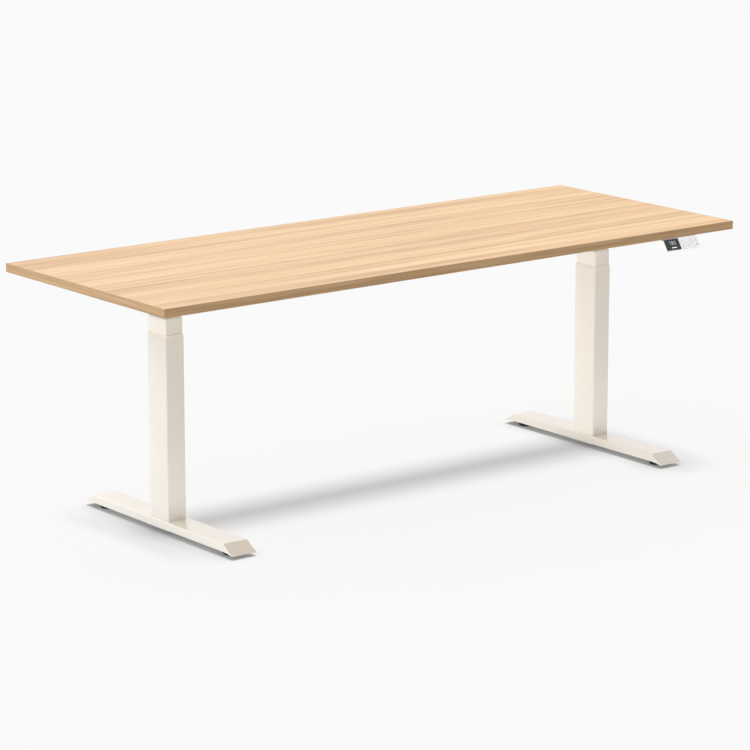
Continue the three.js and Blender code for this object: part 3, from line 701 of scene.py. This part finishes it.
FOOT_SCREW_SPOTS = corners_of(0.022, 0.036)
WASHER_HEIGHT = 0.0015
FOOT_WASHER = ring_mesh(
    "foot_washer", [(0.0044, 0), (0.009, 0), (0.009, WASHER_HEIGHT), (0.0044, WASHER_HEIGHT)], 32
)
PAD_HEIGHT = 0.011
GLIDE_NUT = hex_nut("glide_nut", 0.0043, 0.013, 0.0055)
GLIDE_THREAD = stud_thread("glide_thread", 0.004, 0.00018, 0.00125, 0.02)
GRIP_COUNT = 30
GRIP_RADIUS = 0.0239
GRIP_LOW = 0.0018
GRIP_HEIGHT = 0.0034
GRIP_OUTLINE = [(-0.0004, -0.0009), (0.0004, -0.0005), (0.0004, 0.0005), (-0.0004, 0.0009)]


def add_grip(bm):
    """Small ribs round the rim of a glide, for turning it by hand."""
    for step in range(GRIP_COUNT):
        turn = Matrix.Rotation(2 * math.pi * step / GRIP_COUNT, 4, "Z")
        add_prism(bm, GRIP_OUTLINE, 0, GRIP_HEIGHT, turn @ at(GRIP_RADIUS, 0, GRIP_LOW))


GLIDE_GRIP = mesh_of("glide_grip", add_grip)


def foot_hardware(side, sign):
    """Washers and screws under the foot plate, and a nut, thread and grip on each glide."""
    under = at(sign * LEG_X, LEG_Y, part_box(f"foot_stiffener_{side}")[0].z)
    spots = [under @ at(dx, dy, 0) @ FACE_DOWN for dx, dy in FOOT_SCREW_SPOTS]
    row_of(f"foot_washer_{side}", FOOT_WASHER, "base", PLATED, spots)
    on_washers = [spot @ at(0, 0, WASHER_HEIGHT) for spot in spots]
    row_of(f"foot_screw_{side}", FOOT_SCREW, "base", PLATED, on_washers)
    for end in ("front", "back"):
        glide = f"glide_{side}_{end}"
        centre = middle(glide)
        pad = at(centre.x, centre.y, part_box(glide)[0].z)
        nut_place = pad @ at(0, 0, PAD_HEIGHT + 0.0003)
        piece(f"glide_nut_{side}_{end}", GLIDE_NUT, "base", PLATED, nut_place)
        thread_place = pad @ at(0, 0, PAD_HEIGHT + 0.0005)
        piece(f"glide_thread_{side}_{end}", GLIDE_THREAD, glide, PLATED, thread_place)
        piece(f"glide_grip_{side}_{end}", GLIDE_GRIP, glide, GLIDE_PLASTIC, pad)


# ---------------- heads, brackets and rails

BEAD_RADIUS = 0.0012
BEAD_STEP = 0.0018
BEAD_RIPPLE = 0.00018
GEARBOX_SCREW_SPOTS = corners_of(0.038, 0.034)
BRACKET_WALL = 0.0025
BRACKET_BOLT_RISE = 0.009
DESKTOP_SCREW_ROW = (-0.268, -0.165, -0.05, 0.05, 0.165, 0.268)
RAIL_SCREW_INSETS = (0.035, 0.125, 0.330)


def weld_bead(side):
    """Fillet weld where the inner column meets the head plate."""
    low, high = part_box(f"inner_column_{side}")
    centre = (low + high) / 2
    outline = rounded(high.x - low.x + 0.001, high.y - low.y + 0.001, 0.003, 5, (centre.x, centre.y))
    path = []
    for first, second in zip(outline, outline[1:] + outline[:1]):
        start = Vector((*first, PLATE_BOTTOM + 0.0005))
        run = Vector(second) - Vector(first)
        count = max(1, int(math.dist(first, second) / BEAD_STEP))
        for i in range(count):
            ripple = BEAD_RIPPLE * math.sin(len(path) * math.pi * 0.5)
            path.append(start + Vector((*run * i / count, ripple)))
    bead = mesh_of(f"weld_bead_{side}", lambda bm: add_closed_sweep(bm, path, BEAD_RADIUS), 80)
    piece(f"weld_bead_{side}", bead, "upper", COAT)


def head_hardware(side, sign):
    """Screws of the gearbox and the side bracket, and those into the desktop."""
    head = at(sign * LEG_X, LEG_Y, PLATE_BOTTOM)
    spots = [head @ at(dx, dy, 0) @ FACE_DOWN for dx, dy in GEARBOX_SCREW_SPOTS]
    row_of(f"gearbox_screw_{side}", FRAME_SCREW, "upper", BLACK_SCREW, spots)
    low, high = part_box(f"side_bracket_{side}")
    inner_wall = low.x + BRACKET_WALL if sign > 0 else high.x - BRACKET_WALL
    rail_y = middle("rail_back").y - LEG_Y
    wall = at(inner_wall, LEG_Y, RAIL_Z)
    outwards = facing((sign, 0, 0))
    spots = [wall @ at(0, dy, dz) @ outwards for dy, dz in corners_of(rail_y, BRACKET_BOLT_RISE)]
    row_of(f"bracket_bolt_{side}", FRAME_SCREW, "upper", BLACK_SCREW, spots)
    flange = at((low.x + high.x) / 2, LEG_Y, UNDERSIDE - BRACKET_WALL)
    spots = [flange @ at(0, dy, 0) @ FACE_DOWN for dy in DESKTOP_SCREW_ROW]
    row_of(f"desktop_screw_{side}", WOOD_SCREW, "upper", PLATED, spots)


def rail_hardware(row, sign_y):
    """Clamping screws on the outer face of a rail, three at each end."""
    low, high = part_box(f"rail_{row}")
    face = at(0, high.y if sign_y > 0 else low.y, RAIL_Z) @ facing((0, sign_y, 0))
    for side, sign in SIDES.items():
        spots = [at(sign * (high.x - inset), 0, 0) @ face for inset in RAIL_SCREW_INSETS]
        row_of(f"rail_screw_{row}_{side}", FRAME_SCREW, "upper", BLACK_SCREW, spots)


# ---------------- gearboxes and motors

GEARBOX_HALF = 0.048
FLANGE_HEIGHT = 0.004
FLANGE_BORE = 0.0128
FLANGE_SCREW_SPOTS = corners_of(0.0115, 0.0175)
MOTOR_BUSH = ring_mesh("motor_lead_bush", [
    (0.0092, -0.0002), (0.0092, 0.0012), (0.0062, 0.0016), (0.0060, 0.0045), (0.0054, 0.0050),
    (0.0056, 0.0062), (0.0050, 0.0067), (0.0052, 0.0079), (0.0046, 0.0084), (0.0048, 0.0096),
    (0.0041, 0.0102), (0.0034, 0.0102), (0.0034, -0.0002),
], 20)
END_SCREW_ANGLES = (30, 150, 270)
END_SCREW_RADIUS = 0.0145
GEARBOX_RIB = plate("gearbox_rib", rounded(0.0022, 0.026, 0.0008, 2), 0, 0.0018)
RIB_ROW = (-0.030, -0.015, 0.0, 0.015, 0.030)
RIB_RISE = 0.017


def motor_flange(side, sign):
    """Plate and four screws where the motor meets the gearbox."""
    centre = middle(f"motor_{side}")
    place = at(sign * (LEG_X - GEARBOX_HALF), centre.y, centre.z) @ facing((-sign, 0, 0))
    outline = rounded(0.034, 0.046, 0.006)
    hole = circle(FLANGE_BORE, len(outline))
    name = f"motor_flange_{side}"
    flange = mesh_of(name, lambda bm: add_plate_with_hole(bm, outline, hole, 0.0002, FLANGE_HEIGHT))
    piece(name, flange, "upper", BLACK_PAINT, place, bevel=0.0006)
    spots = [place @ at(u, v, FLANGE_HEIGHT) for u, v in FLANGE_SCREW_SPOTS]
    row_of(f"flange_screw_{side}", SMALL_SCREW, "upper", PLATED, spots)


def motor_end(side, sign):
    """Bush round the lead, a band round the motor and three screws in its end cap."""
    low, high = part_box(f"motor_{side}")
    centre = (low + high) / 2
    place = at(low.x if sign > 0 else high.x, centre.y, centre.z) @ facing((-sign, 0, 0))
    piece(f"motor_lead_bush_{side}", MOTOR_BUSH, "upper", DARK_PLASTIC, place)
    inside = (high.z - low.z) / 2 - 0.0002
    outside = inside + 0.0008
    section = [(inside, -0.0185), (outside, -0.0180), (outside, -0.0150), (inside, -0.0145)]
    band = ring_mesh(f"motor_band_{side}", section, 48)
    piece(f"motor_band_{side}", band, "upper", ZINC, place)
    turns = [Matrix.Rotation(math.radians(degrees), 4, "Z") for degrees in END_SCREW_ANGLES]
    spots = [place @ turn @ at(END_SCREW_RADIUS, 0, 0) for turn in turns]
    row_of(f"motor_screw_{side}", SMALL_SCREW, "upper", PLATED, spots)


def gearbox_ribs(side, sign):
    """Upright ribs on the outer side of the gearbox."""
    rib_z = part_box(f"gearbox_{side}")[0].z + RIB_RISE
    outer_face = at(sign * (LEG_X + GEARBOX_HALF), LEG_Y, rib_z)
    upright = facing((sign, 0, 0)) @ Matrix.Rotation(math.pi / 2, 4, "Z")
    spots = [outer_face @ at(0, dy, 0) @ upright for dy in RIB_ROW]
    row_of(f"gearbox_rib_{side}", GEARBOX_RIB, "upper", BLACK_PAINT, spots, bevel=0.0003)


# ---------------- control box

BOX_Y = (BOX_LOW.y + BOX_HIGH.y) / 2
TAB_HEIGHT = 0.003
TAB_REACH = 0.0055
TAB_Y = 0.034
BOX_TAB = plate("box_tab", rounded(0.013, 0.014, 0.004), -TAB_HEIGHT, 0)
VENT_COUNT = 11
VENT_START = 0.30
VENT_STEP = 0.04
LOUVRE = plate("box_vent", rounded(0.0028, 0.052, 0.0013, 3), 0, 0.0009)
CASE_SCREW_INSET = 0.012
CASE_SCREW_Y = 0.038
INLET_DEPTH = 0.014
PIN_SPOTS = ((-0.007, -0.001), (0.0, 0.002), (0.007, -0.001))
PIN_SHOULDER = 0.0090


def control_box_tabs():
    """Four tabs, each held to the underside by a wood screw."""
    for end, face, sign in (("left", BOX_LOW.x, -1), ("right", BOX_HIGH.x, 1)):
        for row, dy in (("front", -TAB_Y), ("back", TAB_Y)):
            place = at(face + sign * TAB_REACH, BOX_Y + dy, BOX_TOP)
            piece(f"box_tab_{end}_{row}", BOX_TAB, "upper", DARK_PLASTIC, place, bevel=0.0004)
            screw_place = place @ at(sign * 0.001, 0, -TAB_HEIGHT) @ FACE_DOWN
            piece(f"box_screw_{end}_{row}", WOOD_SCREW, "upper", PLATED, screw_place)


def control_box_underside():
    """A row of raised louvres and the four screws that close the box."""
    length = BOX_HIGH.x - BOX_LOW.x
    shares = [VENT_START + VENT_STEP * i for i in range(VENT_COUNT)]
    vents = [at(BOX_LOW.x + length * share, BOX_Y, BOX_LOW.z) @ FACE_DOWN for share in shares]
    row_of("box_vent", LOUVRE, "upper", DARK_PLASTIC, vents, bevel=0.0003)
    under = at(BOX_LOW.x + length / 2, BOX_Y, BOX_LOW.z)
    screws = corners_of(length / 2 - CASE_SCREW_INSET, CASE_SCREW_Y)
    spots = [under @ at(dx, dy, 0) @ FACE_DOWN for dx, dy in screws]
    row_of("case_screw", CASE_SCREW, "upper", BLACK_SCREW, spots)


def add_pin(bm):
    """A flat contact pin with a slimmer tip."""
    add_prism(bm, rounded(0.0018, 0.0038, 0.0005, 2), -0.0003, PIN_SHOULDER)
    add_prism(bm, rounded(0.0012, 0.0030, 0.0004, 2), PIN_SHOULDER, PIN_SHOULDER + 0.0008)


def inlet_pins():
    """Three contact pins standing on the floor of the mains inlet."""
    centre = middle("mains_inlet")
    inlet_floor = at(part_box("mains_inlet")[0].x + INLET_DEPTH, centre.y, centre.z)
    spots = [inlet_floor @ at(0, dy, dz) @ facing((-1, 0, 0)) for dy, dz in PIN_SPOTS]
    row_of("inlet_pin", mesh_of("inlet_pin", add_pin), "upper", PLATED, spots)


# ---------------- plugs, clips and bushes

PORT_RISE = 0.010
BACK_PORT = 0.030
FRONT_PORT = -0.028
PLUG_LEAD_BORE = 0.0034
PLUG_TAIL = [
    (0.0055, 0.0080), (0.0053, 0.0100), (0.0046, 0.0104), (0.0048, 0.0116), (0.0042, 0.0120),
    (0.0043, 0.0132), (0.0038, 0.0136), (PLUG_LEAD_BORE, 0.0136), (PLUG_LEAD_BORE, 0.0080),
]
LEAD_DROP = 0.006
CLIP_INNER = 0.0033
CLIP_STRAP = 0.0014
CLIP_REACH = 0.0085
CLIP_HALF_WIDTH = 0.004
MOTOR_CLIP_ROW = (-0.47, -0.29, -0.12, 0.49)
MOTOR_CLIP_Y = 0.056
HANDSET_CLIP_ROW = (0.69, 0.57)
HANDSET_CLIP_Y = -0.098
HANDSET_BUSH = ring_mesh("handset_lead_bush", [
    (0.0058, -0.0002), (0.0058, 0.0020), (0.0050, 0.0024), (0.0052, 0.0038), (0.0045, 0.0042),
    (0.0047, 0.0056), (0.0040, 0.0060), (0.0040, 0.0074), (0.0034, 0.0074), (0.0034, -0.0002),
], 20)
HANDSET_LEAD_X = 0.800
HANDSET_LEAD_DROP = 0.007


def add_plug(bm):
    """Rectangular plug with a latch, and a ribbed tail round the lead."""
    outline = rounded(0.0125, 0.0155, 0.0015, 3)
    start = math.atan2(outline[0][1], outline[0][0])
    add_plate_with_hole(bm, outline, circle(PLUG_LEAD_BORE, len(outline), start), 0.0002, 0.0085)
    add_prism(bm, rounded(0.0012, 0.006, 0.0005, 2, (0.0067, 0)), 0.001, 0.0075)
    add_ring_body(bm, PLUG_TAIL, 20)


def clip_outline():
    """Saddle seen along the lead: two feet against the underside and a strap round the lead."""
    outer = CLIP_INNER + CLIP_STRAP
    foot_low = LEAD_DROP - CLIP_STRAP
    points = [(-CLIP_REACH, LEAD_DROP), (-CLIP_REACH, foot_low), (-outer, foot_low)]
    points += arc(outer, math.pi, 2 * math.pi)
    points += [(outer, foot_low), (CLIP_REACH, foot_low), (CLIP_REACH, LEAD_DROP)]
    points += [(CLIP_INNER, LEAD_DROP), *arc(CLIP_INNER, 0, -math.pi), (-CLIP_INNER, LEAD_DROP)]
    return [(-u, v) for u, v in points][::-1]


def lead_plugs():
    """A plug where each lead meets the control box."""
    plug = mesh_of("lead_plug", add_plug)
    ports = {
        "motor_left": (BOX_LOW.x, -1, BACK_PORT),
        "motor_right": (BOX_HIGH.x, 1, BACK_PORT),
        "handset": (BOX_HIGH.x, 1, FRONT_PORT),
    }
    for name, (x, sign, dy) in ports.items():
        place = at(x, LEG_Y + dy, BOX_LOW.z + PORT_RISE) @ facing((sign, 0, 0))
        piece(f"lead_plug_{name}", plug, "upper", DARK_PLASTIC, place, bevel=0.0003)


def lead_clips():
    """Saddles that hold the leads against the underside, and a bush at the handset."""
    clip = plate("lead_clip", clip_outline(), -CLIP_HALF_WIDTH, CLIP_HALF_WIDTH)
    along = Matrix.Rotation(math.pi / 2, 4, "Z") @ Matrix.Rotation(math.pi / 2, 4, "X")
    lead_z = UNDERSIDE - LEAD_DROP
    spots = [at(x, LEG_Y + MOTOR_CLIP_Y, lead_z) @ along for x in MOTOR_CLIP_ROW]
    row_of("motor_lead_clip", clip, "upper", DARK_PLASTIC, spots, bevel=0.0002)
    spots = [at(x, LEG_Y + HANDSET_CLIP_Y, lead_z) @ along for x in HANDSET_CLIP_ROW]
    row_of("handset_lead_clip", clip, "upper", DARK_PLASTIC, spots, bevel=0.0002)
    housing_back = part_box("handset_housing")[1].y
    place = at(HANDSET_LEAD_X, housing_back, UNDERSIDE - HANDSET_LEAD_DROP) @ facing((0, 1, 0))
    piece("handset_lead_bush", HANDSET_BUSH, "upper", DARK_PLASTIC, place)


# ---------------- handset

HANDSET_REACH = 0.022
FACE_DROP = 0.033
FACE_TILT = math.atan2(FACE_DROP, HANDSET_REACH)
FACE_PLACE = (
    at(middle("handset_face").x, FRONT_Y - HANDSET_REACH / 2, UNDERSIDE - 0.0002 - FACE_DROP / 2)
    @ Matrix.Rotation(FACE_TILT, 4, "X")
)
DISPLAY_X = -0.037
DISPLAY_SURFACE = -0.0001
KEY_SURFACE = 0.0008
KEY_DEPTH = 0.004
PRINT_HEIGHT = 0.00006
DIGIT_WIDTH = 0.0052
DIGIT_HEIGHT = 0.0098
SEGMENT = 0.0011
DIGITS_X = DISPLAY_X - 0.0085
DIGITS_Y = 0.0058
DIGIT_PITCH = 0.0082
POINT_SPACE = 0.0022
POINT_X = 0.0134
BAR_X = DISPLAY_X + 0.0027
BAR_Y = -0.0098
EAR_ROW = (-0.060, 0.045)
EAR_REACH = 0.0055
EAR_HEIGHT = 0.0022
SEGMENTS = {"7": "abc", "3": "abgcd", "5": "afgcd"}


def segment_outline(letter):
    """One bar of a seven-segment digit, as (centre x, centre y, width, height)."""
    w = DIGIT_WIDTH
    h = DIGIT_HEIGHT
    long = h / 2 - SEGMENT * 0.7
    flat = w - SEGMENT * 0.7
    return {
        "a": (0, h / 2, flat, SEGMENT),
        "g": (0, 0, flat, SEGMENT),
        "d": (0, -h / 2, flat, SEGMENT),
        "f": (-w / 2, h / 4, SEGMENT, long),
        "b": (w / 2, h / 4, SEGMENT, long),
        "c": (w / 2, -h / 4, SEGMENT, long),
    }[letter]


def pointed_bar(x, y, width, height):
    """A bar with pointed ends, as the segments of a display have."""
    tip = min(width, height) / 2
    half_w = width / 2
    half_h = height / 2
    if width > height:
        shape = [(-half_w, 0), (tip - half_w, -half_h), (half_w - tip, -half_h)]
        shape += [(half_w, 0), (half_w - tip, half_h), (tip - half_w, half_h)]
    else:
        shape = [(0, -half_h), (half_w, tip - half_h), (half_w, half_h - tip)]
        shape += [(0, half_h), (-half_w, half_h - tip), (-half_w, tip - half_h)]
    return [(x + u, y + v) for u, v in shape]


def display_digits():
    """The height 73.5 in lit segments, with a plain bar under it."""
    for number, digit in enumerate("735"):
        def build(bm):
            for letter in SEGMENTS[digit]:
                add_prism(bm, pointed_bar(*segment_outline(letter)), 0, PRINT_HEIGHT)

        x = DIGITS_X + number * DIGIT_PITCH + (POINT_SPACE if number == 2 else 0)
        name = f"display_digit_{number + 1}"
        place = FACE_PLACE @ at(x, DIGITS_Y, DISPLAY_SURFACE)
        piece(name, mesh_of(name, build), "upper", DIGIT_LIGHT, place)
    point = plate("display_point", rounded(0.0014, 0.0014, 0.0006), 0, PRINT_HEIGHT)
    point_place = FACE_PLACE @ at(DIGITS_X + POINT_X, DIGITS_Y - DIGIT_HEIGHT / 2, DISPLAY_SURFACE)
    piece("display_point", point, "upper", DIGIT_LIGHT, point_place)
    bar = plate("display_bar", rounded(0.0205, 0.0023, 0.0011), 0, PRINT_HEIGHT)
    piece("display_bar", bar, "upper", BAR_LIGHT, FACE_PLACE @ at(BAR_X, BAR_Y, DISPLAY_SURFACE))


def add_arrow(bm, direction):
    points = [(-0.0030, -0.0017), (0.0030, -0.0017), (0.0, 0.0024)]
    add_prism(bm, [(direction * x, direction * y) for x, y in points], 0, PRINT_HEIGHT)


def add_strokes(bm, bars):
    """Adds bars given as (centre x, centre y, width, height)."""
    for x, y, width, height in bars:
        add_prism(bm, rounded(width, height, 0.0002, 2, (x, y)), 0, PRINT_HEIGHT)


def add_padlock(bm):
    add_prism(bm, rounded(0.0044, 0.0032, 0.0005, 2, (0, -0.0012)), 0, PRINT_HEIGHT)
    shackle = arc(0.0016, 0, math.pi, 0.0008) + arc(0.0010, math.pi, 0, 0.0008)
    add_prism(bm, shackle, 0, PRINT_HEIGHT)


def key_numerals():
    """The strokes of the numbers 1 to 4."""
    w = 0.0034
    h = 0.0054
    t = 0.0007
    upper = (0, h / 2, w, t)
    centre = (0, 0, w, t)
    lower = (0, -h / 2, w, t)
    right = (w / 2, 0, t, h + t)
    return {
        1: [(0, 0, t, h + t)],
        2: [upper, (w / 2, h / 4, t, h / 2), centre, (-w / 2, -h / 4, t, h / 2), lower],
        3: [upper, right, centre, lower],
        4: [(-w / 2, h / 4, t, h / 2), right, centre],
    }


def key_marks():
    """Generic marks on the keys: arrows, the numbers 1 to 4, a ring and a padlock."""
    ring = [(0.0018, 0), (0.0026, 0), (0.0026, PRINT_HEIGHT), (0.0018, PRINT_HEIGHT)]
    marks = {
        "up": partial(add_arrow, direction=1),
        "down": partial(add_arrow, direction=-1),
        "set": partial(add_ring_body, rings=ring),
        "lock": add_padlock,
    }
    for number, bars in key_numerals().items():
        marks[f"memory_{number}"] = partial(add_strokes, bars=bars)
    tilt = Matrix.Rotation(FACE_TILT, 4, "X")
    on_key = at(0, 0, (KEY_SURFACE + KEY_DEPTH) / 2)
    for key, build in marks.items():
        place = at(*middle(f"key_{key}")) @ tilt @ on_key
        piece(f"mark_{key}", mesh_of(f"mark_{key}", build), f"key_{key}", PRINT, place)


def handset_mounts():
    """Two ears behind the housing, each held to the underside by a wood screw."""
    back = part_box("handset_housing")[1].y
    centre_x = middle("handset_housing").x
    ear = plate("handset_ear", rounded(0.016, 0.012, 0.003), -EAR_HEIGHT, 0)
    spots = [at(centre_x + dx, back + EAR_REACH, UNDERSIDE) for dx in EAR_ROW]
    row_of("handset_ear", ear, "upper", WHITE_PLASTIC, spots, bevel=0.0004)
    screw_places = [spot @ at(0, 0, -EAR_HEIGHT) @ FACE_DOWN for spot in spots]
    row_of("handset_screw", WOOD_SCREW, "upper", PLATED, screw_places)


# ---------------- studio

WHITE = 0.98
FLOOR_ALBEDO = 0.10
FLAG_Z = 0.560
CONTACT_REACH = 0.06
CONTACT_DARKEST = 0.3
BOUNCE_LIGHT = 0.12
FLOOR_LIGHT_SHARE = 0.36
SKY = {"base": 0.62, "left": 0.95, "back": 0.72, "up": 0.68}
SKY_FLOOR = 0.08
FLOOR_HALF = 45
LENS = 159.47
CAMERA_PLACE = (-5.9508, -7.5819, 2.5951)
CAMERA_TURN = (math.pi / 2 - 0.2307, 0, -0.6628)


def stage_object(name, build):
    """A studio object made by build(bm), which isn't a piece of the desk."""
    bm = bmesh.new()
    build(bm)
    mesh = bpy.data.meshes.new(name)
    bm.to_mesh(mesh)
    bm.free()
    obj = bpy.data.objects.new(name, mesh)
    bpy.context.scene.collection.objects.link(obj)
    return obj


def lamp(name, kind, energy, receivers, **settings):
    """A light that only the given objects receive."""
    data = bpy.data.lights.new(name, kind)
    data.energy = energy
    for setting, value in settings.items():
        setattr(data, setting, value)
    obj = bpy.data.objects.new(name, data)
    bpy.context.scene.collection.objects.link(obj)
    group = bpy.data.collections.new(name + "_receivers")
    for receiver in receivers:
        group.objects.link(receiver)
    obj.light_linking.receiver_collection = group
    return obj


def turn_towards(direction):
    """The rotation of a lamp that shines in this direction."""
    return Vector(direction).to_track_quat("-Z", "Y").to_euler()


def floor_material():
    """White, partly glowing, with a painted contact shadow: the glow is darker only close under the
    desk's feet.
    """
    material = bpy.data.materials.new("studio_floor")
    material.use_nodes = True
    tree = material.node_tree
    tree.nodes.clear()
    grey = (FLOOR_ALBEDO, FLOOR_ALBEDO, FLOOR_ALBEDO)
    diffuse = add_node(tree, "ShaderNodeBsdfDiffuse", {"Color": rgba(grey)})
    # Painted shadow: ambient occlusion dims the floor's glow close to the feet, down to CONTACT_DARKEST.
    contact = add_node(tree, "ShaderNodeAmbientOcclusion", {"Distance": CONTACT_REACH}, samples=8)
    inputs = {"Value": contact.outputs["AO"], "To Min": CONTACT_DARKEST}
    shadow = add_node(tree, "ShaderNodeMapRange", inputs)
    sky_share = FLOOR_ALBEDO * (SKY["base"] + SKY["up"] * 2 / 3 + SKY["left"] * 0.21)
    rest = WHITE - FLOOR_LIGHT_SHARE - sky_share
    inputs = {"Color": (rest, rest, rest, 1), "Strength": shadow.outputs["Result"]}
    glow = add_node(tree, "ShaderNodeEmission", inputs)
    both = add_node(tree, "ShaderNodeAddShader", {0: diffuse.outputs[0], 1: glow.outputs[0]})
    add_node(tree, "ShaderNodeOutputMaterial", {"Surface": both.outputs[0]})
    return material


def add_floor_grid(bm):
    bmesh.ops.create_grid(bm, x_segments=8, y_segments=8, size=FLOOR_HALF)


def floor():
    """The floor, and a soft light from above that only it receives and the desktop lets through."""
    ground = stage_object("floor", add_floor_grid)
    ground.data.materials.append(floor_material())
    energy = FLOOR_LIGHT_SHARE * math.pi / FLOOR_ALBEDO
    light = lamp("floor_light", "SUN", energy, [ground], angle=math.radians(17))
    blockers = bpy.data.collections.new("floor_light_blockers")
    for name in NODES:
        if name.startswith(("desktop_", "edge_band_")):
            blockers.objects.link(NODES[name])
    for entry in blockers.collection_objects:
        entry.light_linking.link_state = "EXCLUDE"
    light.light_linking.blocker_collection = blockers


def add_flag(bm):
    add_prism(bm, rounded(2 * (LEG_X - 0.05), 0.15, 0.02), FLAG_Z, FLAG_Z + 0.001)


def flag():
    """A strip under the desk, unseen itself, that softens the floor light between the legs."""
    strip = stage_object("flag", add_flag)
    strip.location.y = LEG_Y + 0.01
    for ray in ("camera", "diffuse", "glossy", "transmission", "volume_scatter"):
        setattr(strip, "visible_" + ray, False)


def handset_light():
    """A reflector card in front of the desk, for the handset only."""
    receivers = [NODES[name] for name in NODES if name.startswith(("handset_", "key_"))]
    card = lamp("handset_light", "SUN", 1.1, receivers, angle=math.radians(60))
    card.rotation_euler = (math.radians(70), 0, math.radians(-15))


def card_light(name, energy, towards, nodes, colour=(1, 1, 1)):
    """A soft card that lights only the given nodes and shines in the direction towards."""
    receivers = [NODES[node] for node in nodes]
    soft = {"color": colour, "angle": math.radians(30), "use_shadow": False}
    card = lamp(name, "SUN", energy, receivers, **soft)
    card.rotation_euler = turn_towards(towards)


def card_lights():
    """Cards for the pieces that the desktop would leave darker than in the photo."""
    from_left = (0.98, 0, -0.2)
    card_light("right_leg_card", 0.52, from_left, ("outer_column_right", "middle_column_right"))
    card_light("right_top_card", 0.36, from_left, ("middle_column_right",))
    card_light("left_top_card", 0.48, from_left, ("middle_column_left",))
    card_light("collar_card", 1.25, (0.5, 0.6, -0.62), ("outer_collar_left", "outer_collar_right"))
    card_light("handset_card", 0.9, from_left, ("handset_housing",), (0.78, 0.93, 1.0))


def bounce_light(side, sign):
    """A low card in front of a column: the light that comes back up from the floor and the foot."""
    column = f"outer_column_{side}"
    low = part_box(column)[0]
    shape = {"shape": "RECTANGLE", "size": 0.16, "size_y": 0.24}
    card = lamp(f"bounce_light_{side}", "AREA", BOUNCE_LIGHT, [NODES[column]], **shape)
    spot = Vector((sign * LEG_X, low.y - 0.16, low.z + 0.004))
    aim = Vector((sign * LEG_X, low.y, low.z + 0.07))
    card.location = spot
    card.rotation_euler = turn_towards(aim - spot)
    card.visible_camera = False
    card.visible_glossy = False


def sky():
    """Large soft sources all round: brightest to the left and behind, plain white where it is seen."""
    world = bpy.data.worlds.new("studio")
    bpy.context.scene.world = world
    world.use_nodes = True
    tree = world.node_tree
    tree.nodes.clear()
    direction = add_node(tree, "ShaderNodeTexCoord").outputs["Generated"]
    split = add_node(tree, "ShaderNodeSeparateXYZ", {0: direction}).outputs
    from_left = add_node(tree, "ShaderNodeMath", {0: split["X"], 1: 0}, operation="MINIMUM")
    level = add_node(tree, "ShaderNodeValue").outputs[0]
    level.default_value = SKY["base"]
    parts = ((from_left.outputs[0], -SKY["left"]), (split["Y"], SKY["back"]), (split["Z"], SKY["up"]))
    for part, gain in parts:
        inputs = {0: part, 1: gain, 2: level}
        level = add_node(tree, "ShaderNodeMath", inputs, operation="MULTIPLY_ADD").outputs[0]
    lit_sky = add_node(tree, "ShaderNodeMath", {0: level, 1: SKY_FLOOR}, operation="MAXIMUM")
    camera_ray = add_node(tree, "ShaderNodeLightPath").outputs["Is Camera Ray"]
    inputs = {"Factor": camera_ray, 2: lit_sky.outputs[0], 3: WHITE}
    seen = add_node(tree, "ShaderNodeMix", inputs, data_type="FLOAT")
    background = add_node(tree, "ShaderNodeBackground", {"Strength": seen.outputs[0]})
    add_node(tree, "ShaderNodeOutputWorld", {"Surface": background.outputs[0]})


def camera():
    """The photo's viewpoint: in front of the desk, to its left and above it."""
    data = bpy.data.cameras.new("camera")
    data.lens = LENS
    data.clip_end = 200
    obj = bpy.data.objects.new("camera", data)
    obj.location = CAMERA_PLACE
    obj.rotation_euler = CAMERA_TURN
    bpy.context.scene.collection.objects.link(obj)
    bpy.context.scene.camera = obj


# ---------------- the scene

camera()
finish_nodes()
for side_name, side_sign in SIDES.items():
    foot_hardware(side_name, side_sign)
    weld_bead(side_name)
    head_hardware(side_name, side_sign)
    motor_flange(side_name, side_sign)
    motor_end(side_name, side_sign)
    gearbox_ribs(side_name, side_sign)
rail_hardware("front", -1)
rail_hardware("back", 1)
control_box_tabs()
control_box_underside()
inlet_pins()
lead_plugs()
lead_clips()
display_digits()
key_marks()
handset_mounts()
floor()
flag()
handset_light()
card_lights()
for side_name, side_sign in SIDES.items():
    bounce_light(side_name, side_sign)
sky()
bpy.context.scene.view_settings.view_transform = "Standard"
